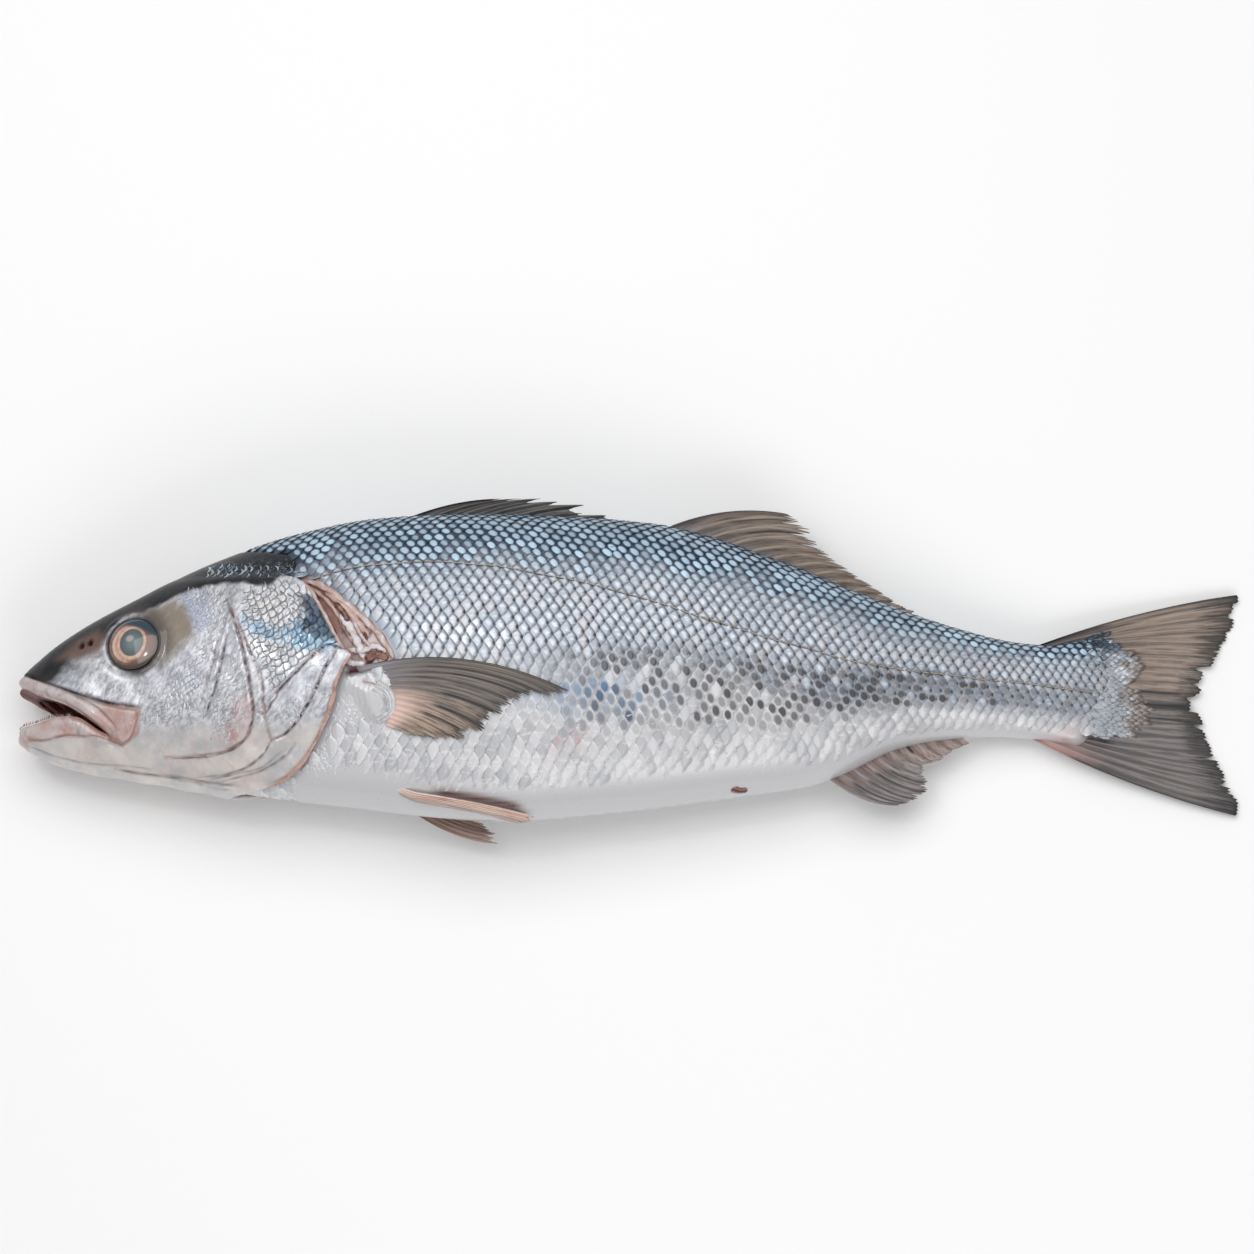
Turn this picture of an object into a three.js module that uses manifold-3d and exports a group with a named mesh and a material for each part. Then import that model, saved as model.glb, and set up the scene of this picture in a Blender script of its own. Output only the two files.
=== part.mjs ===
// A whole raw fish lying on its right side
//
// Millimetres. The head points along -X, the tail along +X, the back along +Y and
// the belly along -Y. The left side is up, along +Z, and the fish rests on z = 0.
// The origin is the middle of the footprint, on the resting plane.

import * as THREE from "three";
import { mergeVertices } from "three/addons/utils/BufferGeometryUtils.js";
import Module from "manifold-3d";

const wasm = await Module();
wasm.setup();

// Driving sizes

const HALF_LENGTH = 228;
const BODY_END = 182;
const WIDEST_LEVEL = 0.54;
const BACK_FULLNESS = 2.15;
const BELLY_FULLNESS = 2.05;
const STATIONS = 40;
const RING = 32;

const EYE = { x: -183.5, y: 6.8, radius: 8.2, bulge: 2.2 };
const ORBIT = { radius: 9.6, height: 0.9 };
const NOSTRILS = [{ x: -202.6, y: 8.2 }, { x: -199.5, y: 9.2 }];
const NOSTRIL_RADIUS = 0.9;
const NOSTRIL_DEPTH = 1.6;
const MOUTH_HOLLOW = { x: -211, y: -19.5, z: 21, length: 15, height: 8, width: 9 };
const CHEEK_LIFT = 1.9;
const GILL_COVER_LIFT = 1.2;
const LIP_LIFT = 1.5;
const FIN_FLOOR = 0.05;

// Body profiles, each a list of [x, value]

const backLine = smoothCurve([
  [-228, -14], [-226, -5], [-219, 3.5], [-205, 14], [-183, 26], [-153, 40],
  [-123, 50], [-94, 55.5], [-60, 57.2], [-12, 55.5], [10, 53.5], [55, 40.6],
  [85, 29], [115, 18.4], [145, 11.7], [154, 11.1], [171, 13.5], [182, -2],
]);
const bellyLine = smoothCurve([
  [-228, -24], [-223, -31], [-204, -38.5], [-167, -44.6], [-107, -52.5], [-48, -58],
  [-5, -54.6], [40, -48.3], [66, -44], [77, -40], [99, -29.5], [115, -26],
  [137, -24.3], [152, -25.2], [170, -27.5], [182, -12],
]);
const halfThickness = smoothCurve([
  [-228, 6], [-224, 9.5], [-210, 14], [-195, 17], [-182, 19.5], [-158, 23.5],
  [-136, 26.5], [-106, 28.8], [-77, 29.8], [-47, 30], [-10, 29], [27, 26.5],
  [64, 22.5], [101, 17], [138, 11], [154, 8.8], [166, 6.6], [182, 1.6],
]);
const midHeight = smoothCurve([
  [-228, 20], [-195, 21.5], [-158, 23.3], [-106, 25.3], [-47, 26.2], [-10, 25.3],
  [27, 23], [64, 19.5], [101, 14.8], [138, 9.8], [154, 7.8], [171, 5.8],
  [195, 3.6], [228, 1.6],
]);

// Outlines on the side of the head, each a list of [x, y]

const GILL_COVER = [
  [-170, 26], [-150, 31], [-127, 30.5], [-117, 24.5], [-110.5, 13], [-102, 0.5],
  [-105.5, -7], [-109, -16.5], [-116.5, -33], [-125, -42], [-145, -44],
  [-175, -40], [-190, -34], [-188, -10],
];
const CHEEK = [
  [-172, 18], [-147.5, 17.5], [-144, 7], [-140.5, -8], [-139.5, -17.5],
  [-142, -26], [-150, -32.5], [-172, -35], [-188, -33.5], [-187, -20], [-182, -9],
];
const UPPER_JAW = [
  [-230, -2], [-222, -5.5], [-212, -9.5], [-200, -14], [-184, -17],
  [-184.5, -22], [-188, -28.5], [-194, -26.5], [-202, -20.5], [-213.5, -14.5],
  [-226, -9],
];
const GAPE = [
  [-240, -6], [-226, -7.6], [-219, -11.4], [-208, -15.6], [-198, -22],
  [-192, -26.5], [-199, -23.2], [-208, -19.2], [-213, -19], [-219, -20.9],
  [-225, -22.3], [-228, -25.5], [-240, -28],
];

// Curves

function smoothCurve(points) {
  const steps = points.slice(1).map(([x], i) => x - points[i][0]);
  const slopes = steps.map((step, i) => (points[i + 1][1] - points[i][1]) / step);
  const tangents = points.map((_, i) => {
    if (i === 0) return slopes[0];
    if (i === slopes.length) return slopes[i - 1];
    if (slopes[i - 1] * slopes[i] <= 0) return 0;
    const before = 2 * steps[i] + steps[i - 1];
    const after = steps[i] + 2 * steps[i - 1];
    return (before + after) / (before / slopes[i - 1] + after / slopes[i]);
  });
  return (at) => {
    const x = THREE.MathUtils.clamp(at, points[0][0], points.at(-1)[0]);
    let i = 0;
    while (i < steps.length - 1 && x > points[i + 1][0]) i += 1;
    const t = (x - points[i][0]) / steps[i];
    const s = 1 - t;
    return (
      (1 + 2 * t) * s * s * points[i][1] +
      t * s * s * steps[i] * tangents[i] +
      t * t * (3 - 2 * t) * points[i + 1][1] -
      t * t * s * steps[i] * tangents[i + 1]
    );
  };
}

// A line through points of any dimension, read by a share of its length
function pathThrough(points) {
  const lengths = [0];
  for (let i = 1; i < points.length; i += 1) {
    const gap = Math.hypot(...points[i].map((value, k) => value - points[i - 1][k]));
    lengths.push(lengths[i - 1] + gap);
  }
  const total = lengths.at(-1);
  const axes = points[0].map((_, k) => smoothCurve(points.map((p, i) => [lengths[i] / total, p[k]])));
  return (share) => axes.map((axis) => axis(share));
}

// Half the body's thickness at a point of the side view
function sideReach(x, y) {
  const top = backLine(x);
  const bottom = bellyLine(x);
  const level = bottom + WIDEST_LEVEL * (top - bottom);
  const above = y >= level;
  const share = above ? (y - level) / (top - level) : (level - y) / (level - bottom);
  const fullness = above ? BACK_FULLNESS : BELLY_FULLNESS;
  return halfThickness(x) * (1 - Math.min(share, 1) ** fullness) ** (1 / fullness);
}

// Solids

// A solid from points and triangles, with its faces turned outward
function solidFrom(positions, triangles) {
  const build = (corners) => {
    const geometry = new THREE.BufferGeometry();
    geometry.setAttribute("position", new THREE.Float32BufferAttribute(positions, 3));
    geometry.setIndex(corners);
    const welded = mergeVertices(geometry, 1e-4);
    const vertProperties = new Float32Array(welded.attributes.position.array);
    const triVerts = new Uint32Array(welded.index.array);
    return new wasm.Manifold(new wasm.Mesh({ numProp: 3, vertProperties, triVerts }));
  };
  const solid = build(triangles);
  return solid.volume() < 0 ? build(triangles.toReversed()) : solid;
}

// A closed skin over rings of points, with a fan of triangles over each end
function skinOver(rings) {
  const count = rings[0].length;
  const positions = rings.flat(2);
  const triangles = [];
  for (let i = 0; i < rings.length - 1; i += 1) {
    for (let j = 0; j < count; j += 1) {
      const a = i * count + j;
      const b = i * count + ((j + 1) % count);
      triangles.push(a, b, b + count, a, b + count, a + count);
    }
  }
  const ends = [rings[0], rings.at(-1)];
  ends.forEach((ring, end) => {
    const centre = [0, 1, 2].map((k) => ring.reduce((sum, p) => sum + p[k], 0) / count);
    const hub = positions.length / 3;
    positions.push(...centre);
    const first = end * (rings.length - 1) * count;
    for (let j = 0; j < count; j += 1) {
      const a = first + j;
      const b = first + ((j + 1) % count);
      triangles.push(...(end ? [hub, a, b] : [hub, b, a]));
    }
  });
  return solidFrom(positions, triangles);
}

function bodyRing(x, lift) {
  const top = backLine(x);
  const bottom = bellyLine(x);
  const level = bottom + WIDEST_LEVEL * (top - bottom);
  const reach = halfThickness(x) + lift;
  const ring = [];
  for (let j = 0; j < RING; j += 1) {
    const angle = (2 * Math.PI * j) / RING;
    const up = Math.cos(angle);
    const out = Math.sin(angle);
    const power = 2 / (up >= 0 ? BACK_FULLNESS : BELLY_FULLNESS);
    const span = up >= 0 ? top - level : level - bottom;
    const y = level + Math.sign(up) * span * Math.abs(up) ** power;
    const z = midHeight(x) - Math.sign(out) * reach * Math.abs(out) ** power;
    ring.push([x, y, Math.max(z, 0)]);
  }
  return ring;
}

// Stations crowd together toward the snout and the root of the tail
function bodySolid(lift = 0) {
  const rings = [];
  for (let i = 0; i <= STATIONS; i += 1) {
    const share = i / STATIONS;
    const eased = share - 0.09 * Math.sin(2 * Math.PI * share);
    rings.push(bodyRing(-HALF_LENGTH + (HALF_LENGTH + BODY_END) * eased, lift));
  }
  return skinOver(rings);
}

function prism(outline, low, high) {
  const flat = outline.map(([x, y]) => new THREE.Vector2(x, y));
  if (THREE.ShapeUtils.area(flat) < 0) flat.reverse();
  const count = flat.length;
  const positions = [];
  for (const z of [low, high]) {
    for (const point of flat) positions.push(point.x, point.y, z);
  }
  const triangles = [];
  for (const [a, b, c] of THREE.ShapeUtils.triangulateShape(flat, [])) {
    triangles.push(c, b, a, a + count, b + count, c + count);
  }
  for (let i = 0; i < count; i += 1) {
    const j = (i + 1) % count;
    triangles.push(i, j, j + count, i, j + count, i + count);
  }
  return solidFrom(positions, triangles);
}

// A plate of bone: the body grown thicker, kept inside an outline
function raisedPlate(outline, lift) {
  return bodySolid(lift).intersect(prism(outline, -5, 90));
}

function ellipsoid(x, y, z, rx, ry, rz) {
  const sphere = new THREE.SphereGeometry(1, 16, 10);
  sphere.deleteAttribute("uv");
  sphere.deleteAttribute("normal");
  sphere.applyMatrix4(new THREE.Matrix4().makeScale(rx, ry, rz));
  sphere.applyMatrix4(new THREE.Matrix4().makeTranslation(x, y, z));
  const welded = mergeVertices(sphere, 1e-4);
  const kept = [];
  const index = welded.index.array;
  for (let i = 0; i < index.length; i += 3) {
    const [a, b, c] = index.slice(i, i + 3);
    if (a !== b && b !== c && a !== c) kept.push(a, b, c);
  }
  return solidFrom(Array.from(welded.attributes.position.array), kept);
}

// A lens on each side of the head at one point of the side view
function lensPair(x, y, radius, height, depth) {
  const reach = sideReach(x, y);
  return [1, -1].map((side) => {
    const z = midHeight(x) + side * (reach + height - depth);
    return ellipsoid(x, y, z, radius, radius, depth);
  });
}

// A fin: rays fan out from a root line to an edge line. Rays stand thicker than the
// skin between them, and the skin stops short of each ray's tip. A pressed fin is sunk
// into the body on its underside.
function fin({ root, edge, rays, sheet, thick, thin, notch = 0.05, rows = 4, sink = 0 }) {
  const rootPath = pathThrough(root);
  const edgePath = pathThrough(edge);
  const columns = 2 * rays - 1;
  const upper = [];
  const lower = [];
  for (let i = 0; i < columns; i += 1) {
    const onRay = i % 2 === 0;
    const share = i / (columns - 1);
    const [x0, y0] = rootPath(share);
    const [x1, y1] = edgePath(share);
    const reach = onRay ? 1 : 1 - notch;
    for (let k = 0; k <= rows; k += 1) {
      const v = (reach * k) / rows;
      const x = x0 + (x1 - x0) * v;
      const y = y0 + (y1 - y0) * v;
      const half = (THREE.MathUtils.lerp(thick, thin, v) * (onRay ? 1 : 0.6)) / 2;
      const z = Math.max(sheet(x, y), half + FIN_FLOOR);
      upper.push([x, y, z + half]);
      lower.push([x, y, z - half - sink]);
    }
  }
  return closedSheet(upper, lower, columns, rows + 1);
}

function closedSheet(upper, lower, columns, rows) {
  const offset = upper.length;
  const triangles = [];
  const quad = (a, b, c, d) => triangles.push(a, b, c, a, c, d);
  for (let i = 0; i < columns - 1; i += 1) {
    for (let k = 0; k < rows - 1; k += 1) {
      const a = i * rows + k;
      quad(a, a + rows, a + rows + 1, a + 1);
      quad(offset + a, offset + a + 1, offset + a + rows + 1, offset + a + rows);
    }
    const near = i * rows;
    const far = near + rows - 1;
    quad(near, offset + near, offset + near + rows, near + rows);
    quad(far, far + rows, offset + far + rows, offset + far);
  }
  for (let k = 0; k < rows - 1; k += 1) {
    const last = (columns - 1) * rows + k;
    quad(k, k + 1, offset + k + 1, offset + k);
    quad(last, offset + last, offset + last + 1, last + 1);
  }
  return solidFrom([...upper, ...lower].flat(), triangles);
}

// Fins

const midPlane = (x) => midHeight(x);
const leftFlank = (lift) => (x, y) => midHeight(x) + sideReach(x, y) + lift;

const fins = [
  // Folded spiny back fin
  fin({
    root: [[-86, 52], [-60, 54], [-35, 53], [-8, 51]],
    edge: [[-84, 57], [-71, 60], [-49, 62.6], [-38, 62.8], [-22, 60.4], [-9, 55.5]],
    rays: 9, sheet: midPlane, thick: 4.4, thin: 1.2, notch: 0.12, rows: 3,
  }),
  // Soft back fin
  fin({
    root: [[8, 50], [35, 43], [65, 32], [98, 19]],
    edge: [[14, 55.8], [28, 58.4], [51, 59.4], [64, 56.5], [70, 46.5], [81, 37.6], [104, 23.3]],
    rays: 12, sheet: midPlane, thick: 4, thin: 1.1, rows: 3,
  }),
  // Tail
  fin({
    root: [[155, 11.5], [166, 9], [170, -7], [166, -23], [154, -24.5]],
    edge: [
      [226.5, 31.5], [227.6, 26], [224, 15], [218, 4], [209, -11], [213, -19],
      [218, -30], [223, -40], [226, -48], [224.8, -52],
    ],
    rays: 17, sheet: midPlane, thick: 4.2, thin: 1.2, notch: 0.04, rows: 5,
  }),
  // Anal fin, the front lobe and then the low part behind it
  fin({
    root: [[70, -38], [85, -31], [102, -24]],
    edge: [[72, -43.5], [83.5, -49.4], [97, -50.2], [109.5, -43.4], [107, -34]],
    rays: 8, sheet: midPlane, thick: 3.6, thin: 1.1, rows: 3,
  }),
  fin({
    root: [[100, -24], [112, -22], [120, -21.5]],
    edge: [[109, -36.5], [117.9, -30.4], [124.6, -26.6]],
    rays: 4, sheet: midPlane, thick: 3.4, thin: 1.1, rows: 2,
  }),
  // Left breast fin, pressed on the flank
  fin({
    root: [[-102, -5.5], [-98, -14], [-93, -25]],
    edge: [
      [-84, -3], [-59, -2.2], [-34, -7], [-23, -13.5], [-39, -16.6], [-51, -22.6],
      [-58, -29], [-70, -30], [-82, -28.4],
    ],
    rays: 10, sheet: leftFlank(0.4), thick: 3, thin: 1.4, rows: 4, sink: 3,
  }),
  // Left belly fin, folded along the belly
  fin({
    root: [[-84, -48.6], [-86, -50.5]],
    edge: [[-39, -55], [-42, -57.2], [-60, -56.2]],
    rays: 4, sheet: leftFlank(0.4), thick: 3, thin: 1.4, rows: 5, sink: 4,
  }),
  // Right belly fin, hanging below the belly
  fin({
    root: [[-82, -47], [-72, -48], [-60, -48]],
    edge: [[-71, -58.5], [-60, -62], [-47.5, -63.2], [-50, -59.6]],
    rays: 5, sheet: () => 13, thick: 4, thin: 1.3, rows: 3,
  }),
];

// Whole fish

function wholeFish() {
  let fish = bodySolid();
  const plates = [
    raisedPlate(GILL_COVER, GILL_COVER_LIFT),
    raisedPlate(CHEEK, CHEEK_LIFT),
    raisedPlate(UPPER_JAW, LIP_LIFT),
  ];
  for (const plate of plates) fish = fish.add(plate);
  const eyeParts = [
    ...lensPair(EYE.x, EYE.y, ORBIT.radius, ORBIT.height, 4),
    ...lensPair(EYE.x, EYE.y, EYE.radius, EYE.bulge, 6),
  ];
  for (const part of eyeParts) fish = fish.add(part);
  for (const blade of fins) fish = fish.add(blade);
  const hollow = MOUTH_HOLLOW;
  const cuts = [
    prism(GAPE, -5, 60),
    ellipsoid(hollow.x, hollow.y, hollow.z, hollow.length, hollow.height, hollow.width),
    prism([[-300, -100], [300, -100], [300, 100], [-300, 100]], -20, 0),
  ];
  for (const { x, y } of NOSTRILS) {
    cuts.push(...lensPair(x, y, NOSTRIL_RADIUS, NOSTRIL_DEPTH, 2 * NOSTRIL_DEPTH));
  }
  for (const cut of cuts) fish = fish.subtract(cut);
  return fish;
}

function meshFrom(solid, name, color) {
  const { vertProperties, triVerts } = solid.getMesh();
  const geometry = new THREE.BufferGeometry();
  geometry.setAttribute("position", new THREE.Float32BufferAttribute(vertProperties, 3));
  geometry.setIndex(Array.from(triVerts));
  geometry.computeVertexNormals();
  const material = new THREE.MeshStandardMaterial({ color, roughness: 0.35, metalness: 0.1 });
  const mesh = new THREE.Mesh(geometry, material);
  mesh.name = name;
  return mesh;
}

const group = new THREE.Group();
group.name = "whole_fish";
group.add(meshFrom(wholeFish(), "fish", 0xa9b2bd));

export default group;
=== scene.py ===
# %% [markdown]
# # A whole raw sea fish, lying on its right side
#
# A fresh fish is a lesson in layers. Under everything is one smooth body. Over it lie thousands
# of thin scales, each tucked under the one before it. The head is bare bone and skin, folded into
# plates, and the fins are webs of skin stretched over rays. Each layer is its own mesh here,
# built from a few measured curves.
#
# Lengths are in millimetres until a mesh is made. The head points along -X, the back along +Y,
# and the left side is up.

# %% Open the frame that holds the real size
import math

import bmesh
import bpy
import numpy as np
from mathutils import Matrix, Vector


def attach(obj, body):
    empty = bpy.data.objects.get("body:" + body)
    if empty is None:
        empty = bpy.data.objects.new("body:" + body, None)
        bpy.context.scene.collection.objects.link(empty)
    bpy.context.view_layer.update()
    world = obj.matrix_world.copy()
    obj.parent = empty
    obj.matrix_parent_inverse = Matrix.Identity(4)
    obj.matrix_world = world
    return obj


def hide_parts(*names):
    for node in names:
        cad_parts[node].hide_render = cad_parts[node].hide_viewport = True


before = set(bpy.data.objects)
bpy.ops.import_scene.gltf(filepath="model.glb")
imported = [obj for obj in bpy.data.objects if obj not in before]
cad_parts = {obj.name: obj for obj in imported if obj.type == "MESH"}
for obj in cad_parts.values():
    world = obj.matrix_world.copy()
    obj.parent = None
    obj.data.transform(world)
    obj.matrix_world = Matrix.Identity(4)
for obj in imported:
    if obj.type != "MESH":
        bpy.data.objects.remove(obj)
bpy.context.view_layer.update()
METRES = 0.001

# %% [markdown]
# ## Curves through a few measured points
#
# The body's outline changes slowly, so a dozen measured points and a smooth curve through them
# say all of it. A plain cubic spline would wobble past its points at the root of the tail. A
# monotone cubic never overshoots.

# %% Monotone curves


def smooth_curve(points):
    """A smooth function through points, flat beyond both ends."""
    xs, ys = np.array(points, float).T
    steps = np.diff(xs)
    slopes = np.diff(ys) / steps
    tangents = np.empty(len(xs))
    tangents[[0, -1]] = slopes[[0, -1]]
    for i in range(1, len(xs) - 1):
        before, after = slopes[i - 1], slopes[i]
        w1 = 2 * steps[i] + steps[i - 1]
        w2 = steps[i] + 2 * steps[i - 1]
        flat = before * after <= 0
        tangents[i] = 0 if flat else (w1 + w2) / (w1 / before + w2 / after)

    def curve(at):
        x = np.clip(at, xs[0], xs[-1])
        i = np.clip(np.searchsorted(xs, x, side="right") - 1, 0, len(steps) - 1)
        t = (x - xs[i]) / steps[i]
        s = 1 - t
        return (
            (1 + 2 * t) * s * s * ys[i]
            + t * s * s * steps[i] * tangents[i]
            + t * t * (3 - 2 * t) * ys[i + 1]
            - t * t * s * steps[i] * tangents[i + 1]
        )

    return curve


def soft(value, low, high):
    """0 below low, 1 above high, and an S-curve between."""
    t = np.clip((value - low) / (high - low), 0, 1)
    return t * t * (3 - 2 * t)


def bell(gap, width):
    """1 where the gap is 0, falling off over the width."""
    return np.exp(-((gap / width) ** 2))


back_line = smooth_curve([
    (-228, -14), (-226, -5), (-219, 3.5), (-205, 14), (-183, 26), (-153, 40),
    (-123, 50), (-94, 55.5), (-60, 57.2), (-12, 55.5), (10, 53.5), (55, 40.6),
    (85, 29), (115, 18.4), (145, 11.7), (154, 11.1), (171, 13.5), (182, -2),
])
belly_line = smooth_curve([
    (-228, -24), (-223, -31), (-204, -38.5), (-167, -44.6), (-107, -52.5), (-48, -58),
    (-5, -54.6), (40, -48.3), (66, -44), (77, -40), (99, -29.5), (115, -26),
    (137, -24.3), (152, -25.2), (170, -27.5), (182, -12),
])
half_thickness = smooth_curve([
    (-228, 6), (-224, 9.5), (-210, 14), (-195, 17), (-182, 19.5), (-158, 23.5),
    (-136, 26.5), (-106, 28.8), (-77, 29.8), (-47, 30), (-10, 29), (27, 26.5),
    (64, 22.5), (101, 17), (138, 11), (154, 8.8), (166, 6.6), (182, 1.6),
])
mid_height = smooth_curve([
    (-228, 20), (-195, 21.5), (-158, 23.3), (-106, 25.3), (-47, 26.2), (-10, 25.3), (27, 23),
    (64, 19.5), (101, 14.8), (138, 9.8), (154, 7.8), (171, 5.8), (195, 3.6), (228, 1.6)])
lateral_line = smooth_curve([
    (-121, 26.5), (-115, 29), (-105, 31.8), (-92, 33.7), (-74, 34.5), (-56, 33.4),
    (-34, 29.9), (-12, 25.2), (10, 19.1), (36, 11.2), (61, 4.7), (87, -0.9),
    (114, -3.3), (145, -5.2), (185, -8.6),
])
print("depth at the shoulder", back_line(-60) - belly_line(-60))

# %% [markdown]
# ## One surface for the whole body
#
# Each cross-section of a fish is close to an ellipse that is a little squarer at the shoulders,
# which a superellipse gives with one number. The surface is read by distance along the body and
# angle around it, so the core, the head, the scales and the fins all stand on the same skin.
# Where the fish rests, a soft limit flattens the flank and leaves a rounded rim instead of a
# crease.

# %% The body surface
WIDEST_LEVEL = 0.54
BACK_FULLNESS = 2.15
BELLY_FULLNESS = 2.05
CORE_REST = 0.85


def settle(z, rest=CORE_REST, ease=0.5):
    """Keep heights above the resting plane, with a rounded rim."""
    above = z - rest
    return rest + 0.5 * (above + np.sqrt(above * above + ease * ease))


def widest_level(x):
    return belly_line(x) + WIDEST_LEVEL * (back_line(x) - belly_line(x))


def skin_raw(x, angle):
    """The body surface before it settles: angle 0 is left, 90 degrees is the back."""
    level = widest_level(x)
    up = np.sin(angle)
    out = np.cos(angle)
    power = np.where(up >= 0, 2 / BACK_FULLNESS, 2 / BELLY_FULLNESS)
    span = np.where(up >= 0, back_line(x) - level, level - belly_line(x))
    y = level + np.sign(up) * span * np.abs(up) ** power
    z = mid_height(x) + np.sign(out) * half_thickness(x) * np.abs(out) ** power
    return np.stack([x + 0 * y, y, z], -1)


def skin_normal(x, angle):
    step = 0.01
    along = skin_raw(x + 0.3, angle) - skin_raw(x - 0.3, angle)
    around = skin_raw(x, angle + step) - skin_raw(x, angle - step)
    normal = np.cross(along, around)
    return normal / np.maximum(np.linalg.norm(normal, axis=-1, keepdims=True), 1e-9)


def facing_up(x, up=1):
    """Normals straight up, one for each place."""
    normals = np.zeros(np.shape(x) + (3,))
    normals[..., 2] = up
    return normals


def on_side(side, x, points, normals, rest):
    """Mirror the skin for the side that the fish lies on, and keep it off the floor."""
    if side < 0:
        points[..., 2] = 2 * mid_height(x) - points[..., 2]
        normals[..., 2] *= -1
    points[..., 2] = settle(points[..., 2], rest, 0.4)
    return points, normals


def angle_at(x, y):
    """The angle around the left side whose skin has height y in the side view."""
    level = widest_level(x)
    above = y >= level
    share = np.where(
        above, (y - level) / (back_line(x) - level), (level - y) / (level - belly_line(x)))
    full = np.where(above, BACK_FULLNESS, BELLY_FULLNESS)
    lift = np.arcsin(np.clip(share, 0, 1) ** (full / 2))
    return np.where(above, lift, -lift)


print("skin at the eye", skin_raw(np.array(-183.5), angle_at(np.array(-183.5), 6.8)))

# %% [markdown]
# ## Distance around the body, measured from the lateral line
#
# Scale rows run parallel to the lateral line, so they need a second reading of the surface: how
# far round, in millimetres, from that line. A superellipse has no formula for its length, so it
# is added up once on a fine grid and read back by interpolation.

# %% Rows around the body
TABLE_X = np.arange(-232.0, 190.0, 2.0)
TABLE_AROUND = np.arange(-110.0, 110.5, 0.5)


def build_around_table():
    angles = np.radians(np.arange(-225, 225.5, 0.75))
    table = np.empty((len(TABLE_X), len(TABLE_AROUND)))
    for i, x in enumerate(TABLE_X):
        ring = skin_raw(np.full(len(angles), x), angles)
        hops = np.linalg.norm(np.diff(ring, axis=0), axis=1)
        around = np.concatenate([[0], np.cumsum(hops)])
        zero = np.interp(angle_at(x, lateral_line(x)), angles, around)
        table[i] = np.interp(TABLE_AROUND, around - zero, angles)
    return table


AROUND_TABLE = build_around_table()


def angle_around(x, around):
    """The angle that lies this far round from the lateral line."""
    i = np.clip((x - TABLE_X[0]) / 2.0, 0, len(TABLE_X) - 1.001)
    j = np.clip((around - TABLE_AROUND[0]) / 0.5, 0, len(TABLE_AROUND) - 1.001)
    i0, j0 = i.astype(int), j.astype(int)
    u, v = i - i0, j - j0
    t = AROUND_TABLE
    near = t[i0, j0] * (1 - v) + t[i0, j0 + 1] * v
    far = t[i0 + 1, j0] * (1 - v) + t[i0 + 1, j0 + 1] * v
    return near * (1 - u) + far * u


print("angle table", AROUND_TABLE.shape)

# %% [markdown]
# ## Lines and outlines on the side of the fish
#
# Every fold of the head is drawn as a short line in the side view. The distance to a line becomes
# relief (a groove or a step) and colour (painted shade and warm red in the fold, bone beside
# it). One drawing drives both, so they always agree.

# %% Distances to drawn lines


def line_distance(points, x, y):
    """Distance to an open line, with a sign that is positive on its left."""
    best = np.full(np.shape(x), 1e9)
    sign = np.ones(np.shape(x))
    for (ax, ay), (bx, by) in zip(points[:-1], points[1:]):
        dx, dy = bx - ax, by - ay
        t = np.clip(((x - ax) * dx + (y - ay) * dy) / (dx * dx + dy * dy), 0, 1)
        gap = np.hypot(x - ax - t * dx, y - ay - t * dy)
        closer = gap < best
        best = np.where(closer, gap, best)
        sign = np.where(closer, np.sign(dx * (y - ay) - dy * (x - ax)), sign)
    return best, sign


def inside_distance(points, x, y):
    """Distance to a closed outline, positive inside."""
    ring = list(points) + [points[0]]
    gap, _ = line_distance(ring, x, y)
    within = np.zeros(np.shape(x), bool)
    for (ax, ay), (bx, by) in zip(ring[:-1], ring[1:]):
        crosses = (ay > y) != (by > y)
        at = ax + (y - ay) * (bx - ax) / (by - ay + 1e-12)
        within ^= crosses & (x < at)
    return np.where(within, gap, -gap)


def curve_through(points):
    """A smooth path read by a share between 0 and 1."""
    pts = np.array(points, float)
    hops = np.linalg.norm(np.diff(pts, axis=0), axis=1)
    shares = np.concatenate([[0], np.cumsum(hops)]) / hops.sum()
    curves = [smooth_curve(list(zip(shares, pts[:, k]))) for k in range(pts.shape[1])]
    return lambda share: np.stack([curve(share) for curve in curves], -1)


def rounded(points, steps=6):
    """A drawn line with its corners rounded, for smooth folds."""
    return curve_through(points)(np.linspace(0, 1, steps * (len(points) - 1) + 1))


# %% The folds of the head, drawn in the side view
LIP_GROOVE = rounded([
    (-225, -3), (-223, -3.8), (-215, -7.2), (-207.5, -10.2), (-198.4, -13.5), (-191.3, -15.5),
    (-180.4, -17.4)])
LIP_CREASE = rounded([(-209, -10.1), (-196.5, -16.8), (-187.6, -25.7)])
JAW_FOLD = rounded([
    (-222, -27), (-216.2, -27.8), (-206.8, -26.7), (-197.7, -27), (-189.9, -29.8), (-187.3, -31)])
CHEEK_SLIT = rounded([(-147.8, 8), (-149.7, -1.9), (-151.8, -10.3), (-155.9, -22)])
CHEEK_LINE = rounded([(-150.9, 7.1), (-153.4, -2.9), (-157.7, -17.3)])
CHEEK_EDGE = rounded([
    (-147, 18), (-145.7, 14.8), (-142.4, 4.5), (-139.1, -11), (-137.9, -20.2), (-139.9, -28.2),
    (-146.2, -33.2), (-158, -35.4), (-170.7, -35.5)])
COVER_CREASE = rounded([(-144.6, 14.5), (-139.7, 2.2), (-135.2, -8.1), (-133.7, -21.1)])
COVER_SEAM = rounded([
    (-133.7, -21.8), (-128.9, -13.3), (-122.7, -6.9), (-116.9, -1.2), (-110.7, 3.1), (-104, 1.5)])
LOWER_SEAM = rounded([
    (-131.3, -30.3), (-126.8, -28.5), (-122.7, -24.8), (-116.1, -14.6), (-111, -3.9),
    (-107.8, 0.5)])
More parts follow.
